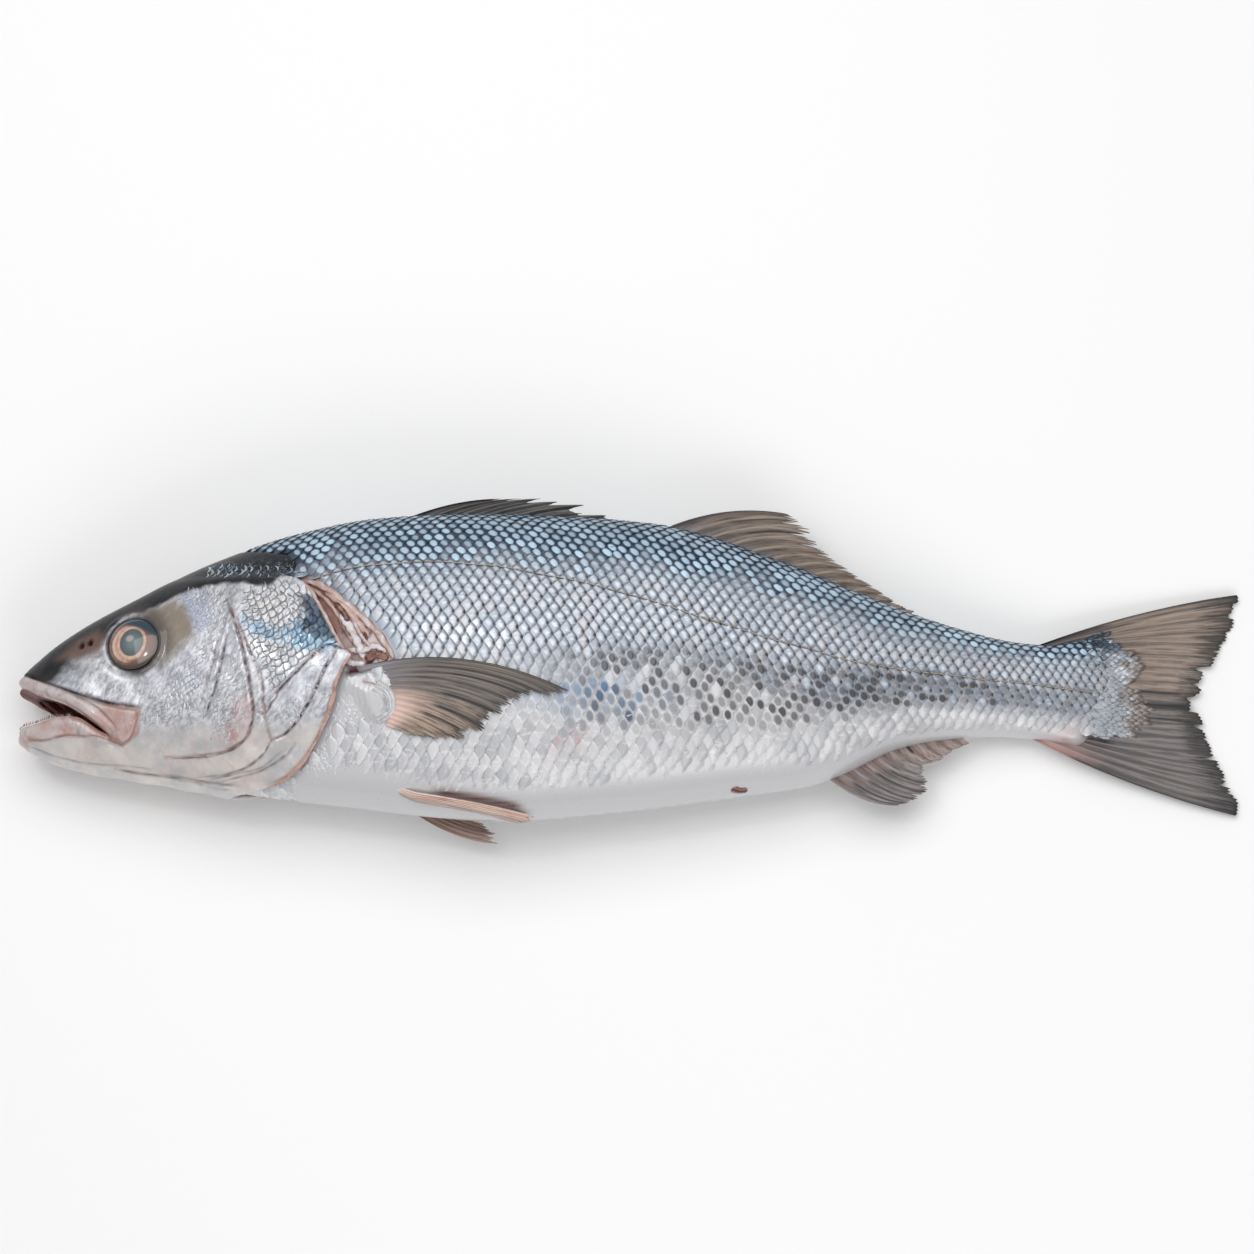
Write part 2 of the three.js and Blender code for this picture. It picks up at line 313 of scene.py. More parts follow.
SHORT_SEAM = rounded([(-137.8, -19.9), (-134.1, -21.8), (-132.7, -25.7), (-131.3, -30.3)])
THROAT_FOLDS = [
    rounded([(-131.3, -30.3), (-135.5, -36), (-143, -40.4), (-154, -43)]),
    rounded([(-122.5, -31.5), (-128, -37), (-138, -41.6), (-150, -44)]),
    rounded([(-128, -34.5), (-137, -40.5), (-160, -42.6)]),
]
KEEL_FOLD = rounded([(-190, -38.6), (-180, -40.2), (-166, -42.2), (-152, -44.6), (-144, -46)])
JAW_UNDER = rounded([(-222, -29.4), (-212, -33.4), (-200, -36.2), (-186, -37.6), (-172, -39.6)])
SNOUT_PORES = rounded([(-216.4, -7.6), (-214.6, -3.6), (-212.4, -0.6)])
UPPER_JAW_PLATE = [
    (-210, -9.6), (-203, -12.2), (-194.6, -15.6), (-187, -17.6), (-181.2, -18.4), (-181, -21.5),
    (-182, -25.2), (-183.9, -28.8), (-187.3, -30.5), (-190, -29.2), (-194, -25.6), (-199, -20.8),
    (-204.4, -17.3), (-212, -13.8)]
COVER_EDGE = [
    (-47.6, -150), (-47.1, -144), (-45.3, -132.6), (-40.6, -123.1), (-33.3, -116.6),
    (-25.3, -112.1), (-16.5, -108.8), (-9.4, -107), (-3.9, -104.5), (0, -102.2), (1.9, -104.3),
    (7.5, -107.8), (12.8, -110.5), (18.9, -113.9), (24.3, -117), (28.4, -122), (30.5, -127.5),
    (32.5, -124), (36, -118.5), (42, -114), (60, -110)]
EYE_AT = (-183.3, 6.3)
NOSTRILS = [(-202.7, 6.6), (-199.5, 7.6)]
print("throat folds", len(THROAT_FOLDS))

# %% [markdown]
# ## Turning arrays into meshes
#
# Every piece is a grid of points. These helpers turn points and faces into a mesh, store the
# painted values that its material will read, and tell the frame which part it stands for. Painted
# values travel with the points, which keeps them right from every side.

# %% The mesh helper


def grid_faces(rows, columns, closed=False, start=0):
    """Quads over a grid of points, stored row by row."""
    i, j = np.meshgrid(np.arange(rows - 1), np.arange(columns if closed else columns - 1),
                       indexing="ij")
    nxt = (j + 1) % columns
    a = i * columns + j
    b = i * columns + nxt
    return np.stack([a, b, b + columns, a + columns], -1).reshape(-1, 4) + start


def tube_faces(rows, count):
    """Rings joined to a closed tube, with a fan to one last point at each end."""
    hub, last = rows * count, (rows - 1) * count
    faces = grid_faces(rows, count, closed=True).tolist()
    faces += [(hub, (j + 1) % count, j) for j in range(count)]
    faces += [(hub + 1, last + j, last + (j + 1) % count) for j in range(count)]
    return faces


def add_object(name, data):
    thing = bpy.data.objects.new(name, data)
    bpy.context.scene.collection.objects.link(thing)
    return thing


def mesh_object(name, points, faces, *materials):
    """A mesh from points in millimetres."""
    mesh = bpy.data.meshes.new(name)
    mesh.from_pydata((np.asarray(points) * METRES).tolist(), [], list(faces))
    for material in materials:
        mesh.materials.append(material)
    return add_object(name, mesh)


def fix_outward(piece):
    """Turn a closed mesh's faces outward."""
    work = bmesh.new()
    work.from_mesh(piece.data)
    bmesh.ops.recalc_face_normals(work, faces=work.faces)
    work.to_mesh(piece.data)
    work.free()


def hand_over(piece, paint):
    """Store the painted values and tell the frame what the piece stands for."""
    for key, values in paint.items():
        layer = piece.data.attributes.new(key, "FLOAT", "POINT")
        layer.data.foreach_set("value", np.asarray(values, np.float32).ravel())
    piece.data.shade_smooth()
    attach(piece, "root")
    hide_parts("fish")
    print(piece.name, len(piece.data.vertices), "points,", len(piece.data.polygons), "faces")


def make_piece(name, points, faces, material, paint, closed=True):
    piece = mesh_object(name, points, faces, material)
    if closed:
        fix_outward(piece)
    hand_over(piece, paint)


# %% [markdown]
# ## Writing materials as arithmetic
#
# A finish is easier to read as a sum than as a web of nodes. This small class wraps one socket,
# so that `1 - edge` or `tone * 0.5` adds the Math node by itself. Colours go through a Mix node,
# because a Math node would turn them grey.

# %% Sockets that can be added and multiplied


def operator(operation, flipped=False):
    """An arithmetic sign that adds a Math node."""
    def apply(self, other):
        return self.math(operation, *((other, self) if flipped else (self, other)))
    return apply


class Signal:
    """One socket of a material, with arithmetic."""

    __add__, __radd__ = operator("ADD"), operator("ADD", True)
    __sub__, __rsub__ = operator("SUBTRACT"), operator("SUBTRACT", True)
    __mul__, __rmul__ = operator("MULTIPLY"), operator("MULTIPLY", True)
    __truediv__, __pow__ = operator("DIVIDE"), operator("POWER")

    def __init__(self, finish, socket):
        self.finish = finish
        self.socket = socket

    def math(self, operation, *values):
        return self.finish.node("ShaderNodeMath", {"operation": operation},
                                dict(enumerate(values)))

    def __neg__(self):
        return self * -1

    def cap_at(self, other):
        return self.math("MINIMUM", self, other)

    def size(self):
        return self.math("ABSOLUTE", self)

    def wave(self):
        return self.math("SINE", self)

    def between(self, low, high):
        """0 below low, 1 above high, eased between."""
        return self.finish.node(
            "ShaderNodeMapRange", {"interpolation_type": "SMOOTHSTEP"},
            {"Value": self, "From Min": low, "From Max": high})

    def tint(self, first, second):
        """The first colour at 0, the second at 1."""
        return self.finish.node(
            "ShaderNodeMix", {"data_type": "RGBA", "clamp_factor": True},
            {0: self, 6: first, 7: second}, out=2)


class Finish:
    """A material, built from expressions."""

    def __init__(self, name):
        self.material = bpy.data.materials.new(name)
        self.material.use_nodes = True
        self.tree = self.material.node_tree
        self.shader = self.tree.nodes["Principled BSDF"]

    def node(self, kind, settings=None, sockets=None, out=0):
        made = self.tree.nodes.new(kind)
        for key, value in (settings or {}).items():
            setattr(made, key, value)
        for key, value in (sockets or {}).items():
            self.feed(made.inputs[key], value)
        return Signal(self, made.outputs[out])

    def feed(self, socket, value):
        if isinstance(value, Signal):
            self.tree.links.new(value.socket, socket)
        elif isinstance(value, tuple) and len(value) == 3 and socket.type == "RGBA":
            socket.default_value = (*value, 1.0)
        else:
            socket.default_value = value

    def paint(self, name):
        """A value painted on the mesh's points."""
        return self.node("ShaderNodeAttribute", {"attribute_name": name}, out="Fac")

    def paints(self, *names):
        return [self.paint(name) for name in names]

    def place(self, stretch=(1, 1, 1), turn=0.0):
        """The place on the object in metres, turned and stretched to shape a grain."""
        where = self.node("ShaderNodeTexCoord", out="Object")
        if turn:
            where = self.node("ShaderNodeVectorRotate", {"rotation_type": "Z_AXIS"},
                              {"Vector": where, "Angle": turn})
        return self.node("ShaderNodeVectorMath", {"operation": "MULTIPLY"},
                         {0: where, 1: stretch})

    def noise(self, scale, detail=3.0, rough=0.55, stretch=(1, 1, 1), warp=0.0, turn=0.0,
              where=None):
        return self.node(
            "ShaderNodeTexNoise", {},
            {"Vector": where or self.place(stretch, turn), "Scale": scale, "Detail": detail,
             "Roughness": rough, "Distortion": warp})

    def threads(self, across, along, scale, detail, rough):
        """Noise read in painted coordinates, so that its streaks follow a ray or a scale."""
        where = self.node("ShaderNodeCombineXYZ", {}, {"X": across, "Y": along})
        return self.noise(scale, detail, rough, where=where)

    def relief(self, height, depth, strength=1.0):
        return self.node("ShaderNodeBump", {},
                         {"Strength": strength, "Distance": depth, "Height": height})

    def shade(self, **sockets):
        for name, value in sockets.items():
            self.feed(self.shader.inputs[name.replace("_", " ")], value)
        return self.material


print("shader words ready")

# %% [markdown]
# ## Skin and bone: the finishes under the scales
#
# Wet fish skin is dark pigment under a thin silvery film: slate blue on the back, silver on the
# flank, a warm white on the belly. The painted value `back` says how far up the back a point is,
# `flesh` marks raw tissue, and `fold` the bottom of a crease, where blood and painted shadow
# gather. Dark red goes in the notch above the breast fin and at the root of the tail, and as
# painted shade in the hollow above the belly fin. Noise at two scales keeps each zone uneven.

# %% The trunk's skin
SLATE = (0.035, 0.052, 0.078)
STEEL = (0.20, 0.25, 0.32)
BELLY_WHITE = (0.56, 0.56, 0.575)
RAW_FLESH = (0.44, 0.235, 0.205)
PALE_FLESH = (0.60, 0.51, 0.51)
BLOOD_AND_SHADE_RED = (0.09, 0.016, 0.013)


def make_trunk_skin():
    skin = Finish("wet_trunk_skin")
    back, flesh, fold, blood_and_shade, web = skin.paints("back", "flesh", "fold", "blood_and_shade", "web")
    patches = skin.noise(60, 4, 0.6)
    grain = skin.noise(900, 3, 0.6)
    tone = back + (patches - 0.5) * 0.25
    ground = tone.between(0.30, 0.62).tint(BELLY_WHITE, STEEL)
    ground = tone.between(0.62, 0.95).tint(ground, SLATE)
    meat = patches.between(0.38, 0.62).tint(RAW_FLESH, PALE_FLESH)
    ground = flesh.tint(ground, meat)
    ground = (fold * 0.9).tint(ground, (0.14, 0.045, 0.03))
    # Dark red: notch and tail-root marks, and painted shade in the hollow above the belly fin.
    ground = blood_and_shade.tint(ground, BLOOD_AND_SHADE_RED)
    ground = web.tint(ground, (0.13, 0.112, 0.108))
    speckle = grain.between(0.62, 0.72) * 0.25 * (1 - flesh)
    ground = speckle.tint(ground, (0.25, 0.26, 0.29))
    height = grain * 0.5 + patches
    return skin.shade(
        Base_Color=ground, Roughness=0.27 + grain * 0.16, Metallic=0.12 * (1 - flesh),
        Coat_Weight=0.5, Coat_Roughness=0.12, IOR=1.42,
        Normal=skin.relief(height, 0.0002, 0.35))


trunk_skin = make_trunk_skin()
print("finish", trunk_skin.name)

# %% [markdown]
# ## The trunk
#
# The trunk is the body surface pulled in by half a millimetre, so that the scales stand on it and
# their edges catch light. Behind the gill opening it dips, because the gill cover stands proud
# there and raw tissue shows in the gap. It could be sculpted by hand, but a function of the side
# view repeats the same shape on both sides.

# %% The trunk's relief
CORE_DEPTH = 0.55
cover_edge_x = smooth_curve(COVER_EDGE)
FLESH_RIM = rounded([
    (-124, 31.5), (-114.8, 27.5), (-106.6, 21.8), (-97.3, 13.7), (-89.9, 5.8), (-86, -1.5)])
CLEITHRUM = rounded([(-119, 26), (-110, 20), (-103, 12.5), (-96, 5), (-91, -2.5)])
FLESH_TEARS = [
    rounded([(-114, 23.5), (-108, 19.5), (-102.5, 13)]),
    rounded([(-106, 9.5), (-101, 7), (-97.5, 8.5)]),
    rounded([(-101, 1.5), (-97, 5.5), (-94, 10)]),
]
SHADED_FIN_HOLLOW = [(-80, -48.0), (-72, -48.9), (-60, -50.7), (-48, -52.8), (-38, -54.8)]
FIN_NOTCH = rounded([(-103.4, -6.2), (-99.5, -5.4), (-94, -3.9)])
ARMPIT = rounded([(-92.5, -24.6), (-88.5, -26.4), (-84, -27.6)])


def bump(x, y, at, reach):
    """A soft spot in the side view."""
    return np.exp(-(((x - at[0]) / reach[0]) ** 2) - (((y - at[1]) / reach[1]) ** 2))


def behind_cover(x, y):
    """How far a point lies behind the gill cover's edge in the side view."""
    return x - cover_edge_x(y)


def flesh_mask(x, y):
    """Raw tissue between the gill cover and the first scales."""
    gap, side = line_distance(FLESH_RIM, x, y)
    above = soft(gap * side, -1.0, 1.2)
    return (1 - above) * soft(y, -7, 0) * (1 - soft(x, -90, -84)) * soft(x, -132, -124)


def trunk_relief(x, y):
    """Relief outward from the core, and the paint that goes with it."""
    behind = behind_cover(x, y)
    deep = 1.5 + 1.7 * soft(y, -9, -3)
    sunk = -deep * (1 - soft(behind, -1.5, 7.5)) * soft(-y, -33, -29)
    sunk = np.minimum(sunk, -3.2 * soft(-x, 122, 130))
    height = -CORE_DEPTH + sunk
    fold = np.zeros(np.shape(x))
    ridge, _ = line_distance(CLEITHRUM, x, y)
    height = height + 1.1 * bell(ridge, 1.6)
    for tear in FLESH_TEARS:
        gap, _ = line_distance(tear, x, y)
        height = height - 0.8 * bell(gap, 0.6)
        fold = np.maximum(fold, bell(gap, 0.7))
    rim, _ = line_distance(FLESH_RIM, x, y)
    height = height + 0.6 * bell(rim, 0.9)
    fold = np.maximum(fold, 0.55 * bell(rim - 1.8, 1.1) * flesh_mask(x, y))
    notch, _ = line_distance(FIN_NOTCH, x, y)
    height = height - 2.4 * bell(notch, 1.3)
    armpit, _ = line_distance(ARMPIT, x, y)
    height = height - 0.8 * bell(armpit, 1.0)
    fold = np.maximum(fold, bell(armpit, 1.1) * 0.8)
    swelling = bump(x, y, (165.8, -23.6), (3.2, 2.4))
    height = height + 0.9 * swelling
    # The hollow above the belly fin: a shallow dip, with painted shade in dark red along it.
    gap, _ = line_distance(SHADED_FIN_HOLLOW, x, y)
    hollow = bell(gap, 1.3) * soft(x, -76, -68) * (1 - soft(x, -44, -38))
    height = height - 0.25 * hollow
    blood_and_shade = np.maximum(np.exp(-((notch / 1.5) ** 4)), 0.95 * hollow)
    blood_and_shade = np.maximum(blood_and_shade, 0.30 * bump(x, y, (160, -26.5), (9, 2.6)))
    blood_and_shade = np.maximum(blood_and_shade, 0.45 * bump(x, y, (170.5, -21.5), (2.6, 3.6)))
    return height, fold, blood_and_shade


# %% Build the trunk
TRUNK_START, TRUNK_END = -186.0, 182.0


def build_trunk():
    fine = np.linspace(-134, -80, 72)
    xs = np.concatenate([np.linspace(TRUNK_START, -134, 22)[:-1], fine,
                         np.linspace(-80, 168, 150)[1:], np.linspace(168, TRUNK_END, 14)[1:]])
    turn = np.linspace(0, 2 * np.pi, 180, endpoint=False)
    x, angle = np.meshgrid(xs, turn - 0.175 * np.sin(2 * turn), indexing="ij")
    raw, normal = skin_raw(x, angle), skin_normal(x, angle)
    y = raw[..., 1]
    height, fold, blood_and_shade = trunk_relief(x, y)
    web = soft(x, 167, 172.5) * np.maximum(soft(-y, 20.5, 24), soft(y, 9.5, 12))
    corner = soft(x, 163.5, 171) * soft(-y, 19.5, 24)
    height = height - np.maximum(1.6 * web, 2.3 * corner)
    points = raw + normal * height[..., None]
    points[..., 2] = settle(points[..., 2])
    back = (y - belly_line(x)) / (back_line(x) - belly_line(x))
    sore = bump(x, y, (161, -23.5), (9, 5)) * (1 - bump(x, y, (165.8, -23.6), (3.4, 2.6)))
    flesh = np.clip(flesh_mask(x, y) + sore * 0.8, 0, 1)
    flat = points.reshape(-1, 3)
    ends = np.stack([points[0].mean(0), points[-1].mean(0)])
    pad = [0.5, 0.5]
    make_piece(
        "trunk", np.concatenate([flat, ends]), tube_faces(*x.shape), trunk_skin,
        {"back": np.append(back.ravel(), pad), "flesh": np.append(flesh.ravel(), pad),
         "fold": np.append(fold.ravel(), pad), "blood_and_shade": np.append(blood_and_shade.ravel(), [0, 0]),
         "web": np.append(web.ravel(), [0, 0])})


build_trunk()

# %% [markdown]
# ## What one scale looks like
#
# A scale is a clear plate with pigment under its front half and a mirror of tiny crystals under
# the rest. High on the back the pigment wins, and only an oval window of silver is left. On the
# flank the mirror wins, with a thin dark rim and a dark point where two rims meet, part pigment
# and part painted shadow. Painted shadow also lies along each scale's root, behind the rim in
# front, painted shade darkens one side, and painted highlights streak the window. Low on the
# flank a dark dot sits in the middle, and the rim turns white, brightened by painted glints. The
# painted values `along` and `across` say where on its own scale a point lies, so one formula
# draws every scale.

# %% The scale finish
NAVY = (0.012, 0.031, 0.064)
WINDOW = (0.58, 0.78, 0.95)
MIRROR = (0.44, 0.475, 0.535)
MIRROR_COOL = (0.32, 0.365, 0.435)
MIRROR_WARM = (0.48, 0.46, 0.48)
PAINTED_MIRROR_HIGHLIGHT = (0.68, 0.71, 0.76)
RIM_DARK = (0.070, 0.078, 0.098)
RIM_WHITE_AND_GLINT = (0.90, 0.90, 0.91)
LOW_SILVER = (0.46, 0.465, 0.49)
BROWN_DOT = (0.058, 0.050, 0.052)
BLUE_DOT = (0.05, 0.13, 0.28)
BLUSH = (0.55, 0.16, 0.12)


def make_scale_finish():
    scale = Finish("mirror_scale")
    along, across, back, tone = scale.paints("along", "across", "back", "tone")
    dot, blue, blush, net, edge = scale.paints("dot", "blue", "blush", "net", "rim")
    patches = scale.noise(35, 3, 0.55)
    grain = scale.noise(1400, 2, 0.5)
    level = back + (patches - 0.5) * 0.18 + (tone - 0.5) * 0.07

    oval = ((along - 0.17 + across * 0.32) * 2.35) ** 2 + (across * 1.65) ** 2
    window = 1 - (oval + (0.5 - tone) * 0.25).between(0.22, 0.95)
    # Painted shade: one side of each scale is darker, as if lit from the other side.
    shaded_facet = (across * 0.9 + along * 0.5 + (tone - 0.5) * 0.9).between(-0.25, 0.30)
    line = 1 - edge.between(0.02, 0.13)
    soft_edge = 1 - edge.between(0.04, 0.34)
    # A dark point where rims meet at the scale's tip: part pigment, part painted shadow.
    tip = 1 - (((along - 0.58) * 3.6) ** 2 + (across * 3.2) ** 2).between(0.10, 1.0)
    middle = 1 - (((along - 0.12) * 2.6) ** 2 + (across * 1.6) ** 2).between(0.25, 1.0)
    # Painted shadow along the scale's root, just behind the rim of the scale in front.
    root = 1 - along.between(-0.42, -0.14)
    streak = scale.noise(420, 2, 0.6, stretch=(0.35, 1.4, 1.0))

    mirror = tone.between(0.1, 0.9).tint(MIRROR_COOL, MIRROR)
    mirror = (tone * 1.7 - 1.0).between(0.25, 0.6).tint(mirror, MIRROR_WARM)
    # Painted highlight: bright streaks in the window of each flank scale.
    mirror = (window * streak.between(0.35, 0.62) * 0.75).tint(mirror, PAINTED_MIRROR_HIGHLIGHT)
    mirror = (shaded_facet * 0.32).tint(mirror, (0.24, 0.275, 0.335))
    flank = (soft_edge * 0.14).tint(mirror, (0.22, 0.25, 0.30))
    flank = (line * (0.06 + tone * 0.30) * patches.between(0.25, 0.6)).tint(flank, RIM_DARK)
    # Painted shadow behind the rim in front.
    flank = (root * 0.26).tint(flank, (0.13, 0.15, 0.19))
    flank = (tip * (0.55 + tone * 0.4)).tint(flank, (0.040, 0.044, 0.056))

    ridge = level.between(0.90, 1.0)
    shine = (0.50 + tone * 0.50) * (1 - ridge * 0.40)
    high = (window * shine).tint(NAVY, WINDOW)
    low = tone.tint(LOW_SILVER, (0.66, 0.66, 0.68))
    # Low on the flank: white rims and streaks, partly the scales' own white, partly painted glints.
    low = (streak.between(0.55, 0.68) * 0.35).tint(low, RIM_WHITE_AND_GLINT)
    glint = patches.between(0.35, 0.60) * 0.7 + 0.5
    low = ((soft_edge * 0.45 + line * 0.65) * (0.35 + tone * 0.85) * glint).cap_at(1.0).tint(
        low, RIM_WHITE_AND_GLINT)
    # Painted shadow behind the rim in front.
    low = (root * 0.30).tint(low, (0.26, 0.25, 0.26))
    mark = blue.tint(BROWN_DOT, BLUE_DOT)
    colour = net.tint(low, flank)
    colour = (middle * dot * 1.2).cap_at(0.95).tint(colour, mark)
    colour = level.between(0.72, 0.90).tint(colour, high)
    colour = (blue * 0.60 * (1 - line)).tint(colour, (0.10, 0.24, 0.42))
    scar = scale.noise(240, 3, 0.6, stretch=(1.6, 0.5, 1.0))
    colour = (blush * scar.between(0.48, 0.60) * 0.85).tint(colour, BLUSH)
    height = grain + (across * 40).wave() * 0.25
    return scale.shade(
        Base_Color=colour, Metallic=net * 0.25 * (1 - line * 0.6),
        Roughness=0.29 + grain * 0.18, Coat_Weight=0.55 - level.between(0.72, 0.9) * 0.30,
        Coat_Roughness=0.10, IOR=1.45, Normal=scale.relief(height, 0.00006, 0.4))


scale_finish = make_scale_finish()
print("finish", scale_finish.name)

# %% [markdown]
# ## Laying scales like roof tiles
#
# Each scale is a small curved plate. Its front edge is buried in the skin and its rear edge
# stands free, over the two scales behind it. Rows are shifted by half a step, which gives the net
# of diamonds, and each scale gets a little of its own size, tilt and turn. Instances would be
# lighter, but real mesh bends with the body and can be exported.

# %% One plate, and many
rng = np.random.default_rng(11)


def plate_grid(rows, columns):
    """Local places of one plate's points, the last row folding its free edge down."""
    p = np.linspace(0, 1, rows)[:, None]
    q = np.linspace(-1, 1, columns)[None, :]
    tail = -0.16 + 0.80 * (1 - np.abs(q) ** 1.75)
    front = -0.80 + 0.22 * q**2
    along = front + (tail - front) * p
    across = 1.13 * q * (0.86 + 0.14 * p)
    rise = np.broadcast_to(p, along.shape)
    rim = (1 - p) * (tail - front) + 0 * q
    fold = np.vstack([along, along[-1] - 0.02])
    return (fold, np.vstack([across, across[-1]]), np.vstack([rise, rise[-1] * 0 + 2]),
            np.vstack([rim, rim[-1] * 0]))


def lay_plates(name, u, v, surface, length, width, lift, bury, camber, finish, grid, paint,
               heading=None):
    """Lay one plate at each place u, v of a surface that gives points and normals."""
    along, across, rise, rim = plate_grid(*grid)
    count = len(u)
    wide = lambda values: np.broadcast_to(values, count)[:, None, None]
    turn = wide(rng.normal(0, 0.05, count))
    size = wide(rng.uniform(0.94, 1.06, count))
    a = along * np.cos(turn) - across * np.sin(turn)
    b = across * np.cos(turn) + along * np.sin(turn)
    du, dv = a * wide(length) * size, b * wide(width) * size
    if heading is not None:
        c, s = np.cos(wide(heading)), np.sin(wide(heading))
        du, dv = du * c - dv * s, du * s + dv * c
    at_u, at_v = wide(u) + du, wide(v) + dv
    points, normals = surface(at_u, at_v)
    free = wide(lift) * wide(rng.uniform(0.75, 1.25, count))
    p = np.minimum(rise, 1)
    height = wide(bury) + (free - wide(bury)) * p - wide(camber) * across**2 * p
    skirt = 0.30 * (rise > 1.5)
    height = height - skirt + wide(rng.normal(0, 0.02, count))
    points = points + normals * height[..., None]
    points[..., 2] = np.maximum(points[..., 2], 0.03)
    rows, columns = along.shape
    one = grid_faces(rows, columns)
    faces = (one[None] + (np.arange(count) * rows * columns)[:, None, None]).reshape(-1, 4)
    values = {"along": along, "across": across, "rim": rim}
    values.update({key: wide(value) for key, value in paint.items()})
    values = {key: np.broadcast_to(value, a.shape) for key, value in values.items()}
    make_piece(name, points.reshape(-1, 3), faces.tolist(), finish, values,
               closed=False)


print("points per plate", plate_grid(4, 7)[0].size)

# %% Where the flank's scales go
STEP_ALONG = 4.2
ROW_GAP = 3.05


def row_levels():
    """How far round from the lateral line each row lies."""
    up, down = [0.0], [0.0]
    while up[-1] < 60:
        up.append(up[-1] + ROW_GAP)
    while down[-1] > -120:
        down.append(down[-1] - (ROW_GAP + 1.05 * float(soft(-down[-1], 6, 42))))
    levels = down[:0:-1] + up
    return np.array(levels), len(down) - 1


def narrowing(x):
    """Scales get smaller toward the tail."""
    return 1 - 0.15 * soft(x, 60, 175)


def flank_places():
    levels, zero = row_levels()
    stations = [-172.0]
    while stations[-1] < 186:
        stations.append(stations[-1] + 0.5 * STEP_ALONG * float(narrowing(stations[-1])))
    stations = np.array(stations)
    xs, ws, gaps = [], [], []
    for j, level in enumerate(levels):
        mine = stations[(j - zero) % 2::2]
        below = levels[max(j - 1, 0)]
        above = levels[min(j + 1, len(levels) - 1)]
        xs.append(mine)
        ws.append(level * narrowing(mine))
        gaps.append(np.full(len(mine), (above - below) / 2) * narrowing(mine))
    x, w, gap = map(np.concatenate, (xs, ws, gaps))
    wander = 0.18 * STEP_ALONG
    x = x + wander * 0.7 * np.sin(w * 0.21 + x * 0.05) + rng.normal(0, 0.14, len(x))
    w = w + 0.35 * np.sin(x * 0.11 + w * 0.07) + rng.normal(0, 0.10, len(w))
    angle = angle_around(x, w)
    y = skin_raw(x, angle)[:, 1]
    return x, w, gap, angle, y


RIM_X = smooth_curve(sorted([(float(y), float(x)) for x, y in FLESH_RIM[::3]]))


def scales_start(y):
    """Where the first scale may stand, at each height of the side view."""
    raw = RIM_X(y) + 2.2
    nape = -123.0 - 36 * soft(y, 38, 47)
    low = cover_edge_x(y) + 4.0
    start = np.where(y > 31.5, nape, raw)
    start = np.where(y < -3, -88 - 9 * soft(-y, 3, 10), start)
    return np.where(y < -27, low, start)


def flank_surface(side):
    def surface(x, w):
        angle = angle_around(x, w)
        return on_side(side, x, skin_raw(x, angle), skin_normal(x, angle), 0.55)
    return surface


def build_flank_scales(name, side, grid):
    x, w, gap, angle, y = flank_places()
    tail_limit = 176.5 - 0.010 * (y + 7) ** 2
    half = angle_around(x, w + 0.5 * gap) - angle
    ridge = np.pi / 2 - (0.9 if side < 0 else -0.3) * half
    keep = (angle < ridge) & (angle > np.radians(-90.5))
    keep &= (x > scales_start(y)) & (x < tail_limit) & (bump(x, y, (170, -25), (8, 5.4)) < 0.5)
    keep &= bump(x, y, (-58, -51.0), (29, 4.6)) < 0.45
    if side < 0:
        keep &= inside_distance(RIGHT_FIN_SHADE, x, y) < -1
    x, w, gap, y = x[keep], w[keep], gap[keep], y[keep]
    count = len(x)
    back = (y - belly_line(x)) / (back_line(x) - belly_line(x))
    bare = 1 - soft(back, 0.055, 0.17 + 0.03 * np.sin(x * 0.045))
    bare = np.maximum(bare, 1.2 * bump(x, y, (165, -24.5), (11, 5.2)))
    bare = np.maximum(bare, soft(-y, 35, 39) * (1 - soft(x, -106, -92)))
    tone = rng.uniform(0, 1, count)
    dot = rng.uniform(0.30, 1, count) * soft(x, -50, -5) * (1 - 0.45 * soft(x, 110, 160))
    dot *= soft(back, 0.20, 0.33) * (1 - soft(back, 0.47, 0.58)) * (rng.uniform(0, 1, count) > 0.10)
    net = soft(back, 0.36 - 0.20 * soft(x, 20, 110), 0.56 - 0.18 * soft(x, 20, 110))
    blue = np.clip(bump(x, y, (-9, -15), (17, 7)) * 1.6 + bump(x, y, (-32, -13), (12, 5)), 0, 1)
    blue *= 0.65 * rng.uniform(0.1, 1, count)
    blush = np.clip(bump(x, y, (-21, -30), (6, 10)) + bump(x, y, (-25, -37), (4, 6)), 0, 1)
    blush *= 0.55 * rng.uniform(0, 1, count) ** 1.5
    young = 1 - 0.30 * (1 - soft(x - scales_start(y), 0, 7))
    lay_plates(
        name, x, w, flank_surface(side), STEP_ALONG * narrowing(x) * young, gap,
        0.16 - 0.97 * bare, -0.64 - 0.3 * bare, 0.24, scale_finish, grid,
        {"back": back, "tone": tone, "dot": dot, "blue": blue, "blush": blush, "net": net})


RIGHT_FIN_SHADE = [
    (-98, -6), (-84, -4), (-59, -4), (-34, -8), (-26, -13), (-45, -19), (-58, -27), (-70, -28),
    (-90, -23)]
build_flank_scales("scales_left", 1, (4, 7))
build_flank_scales("scales_right", -1, (3, 5))

# %% [markdown]
# ## The head: bare plates of bone under thin skin
#
# The head has no large scales. Its look comes from overlapping plates: the cheek lies over the
# gill cover, the gill cover over the throat, and the upper jaw slides out from under the snout.
# Each drawn fold adds a groove and a small step, so one plate stands over the next. The head is a
# fine grid of the same body surface, ending in a rolled rim where the gill cover opens. The mouth
# is cut out of it afterwards.

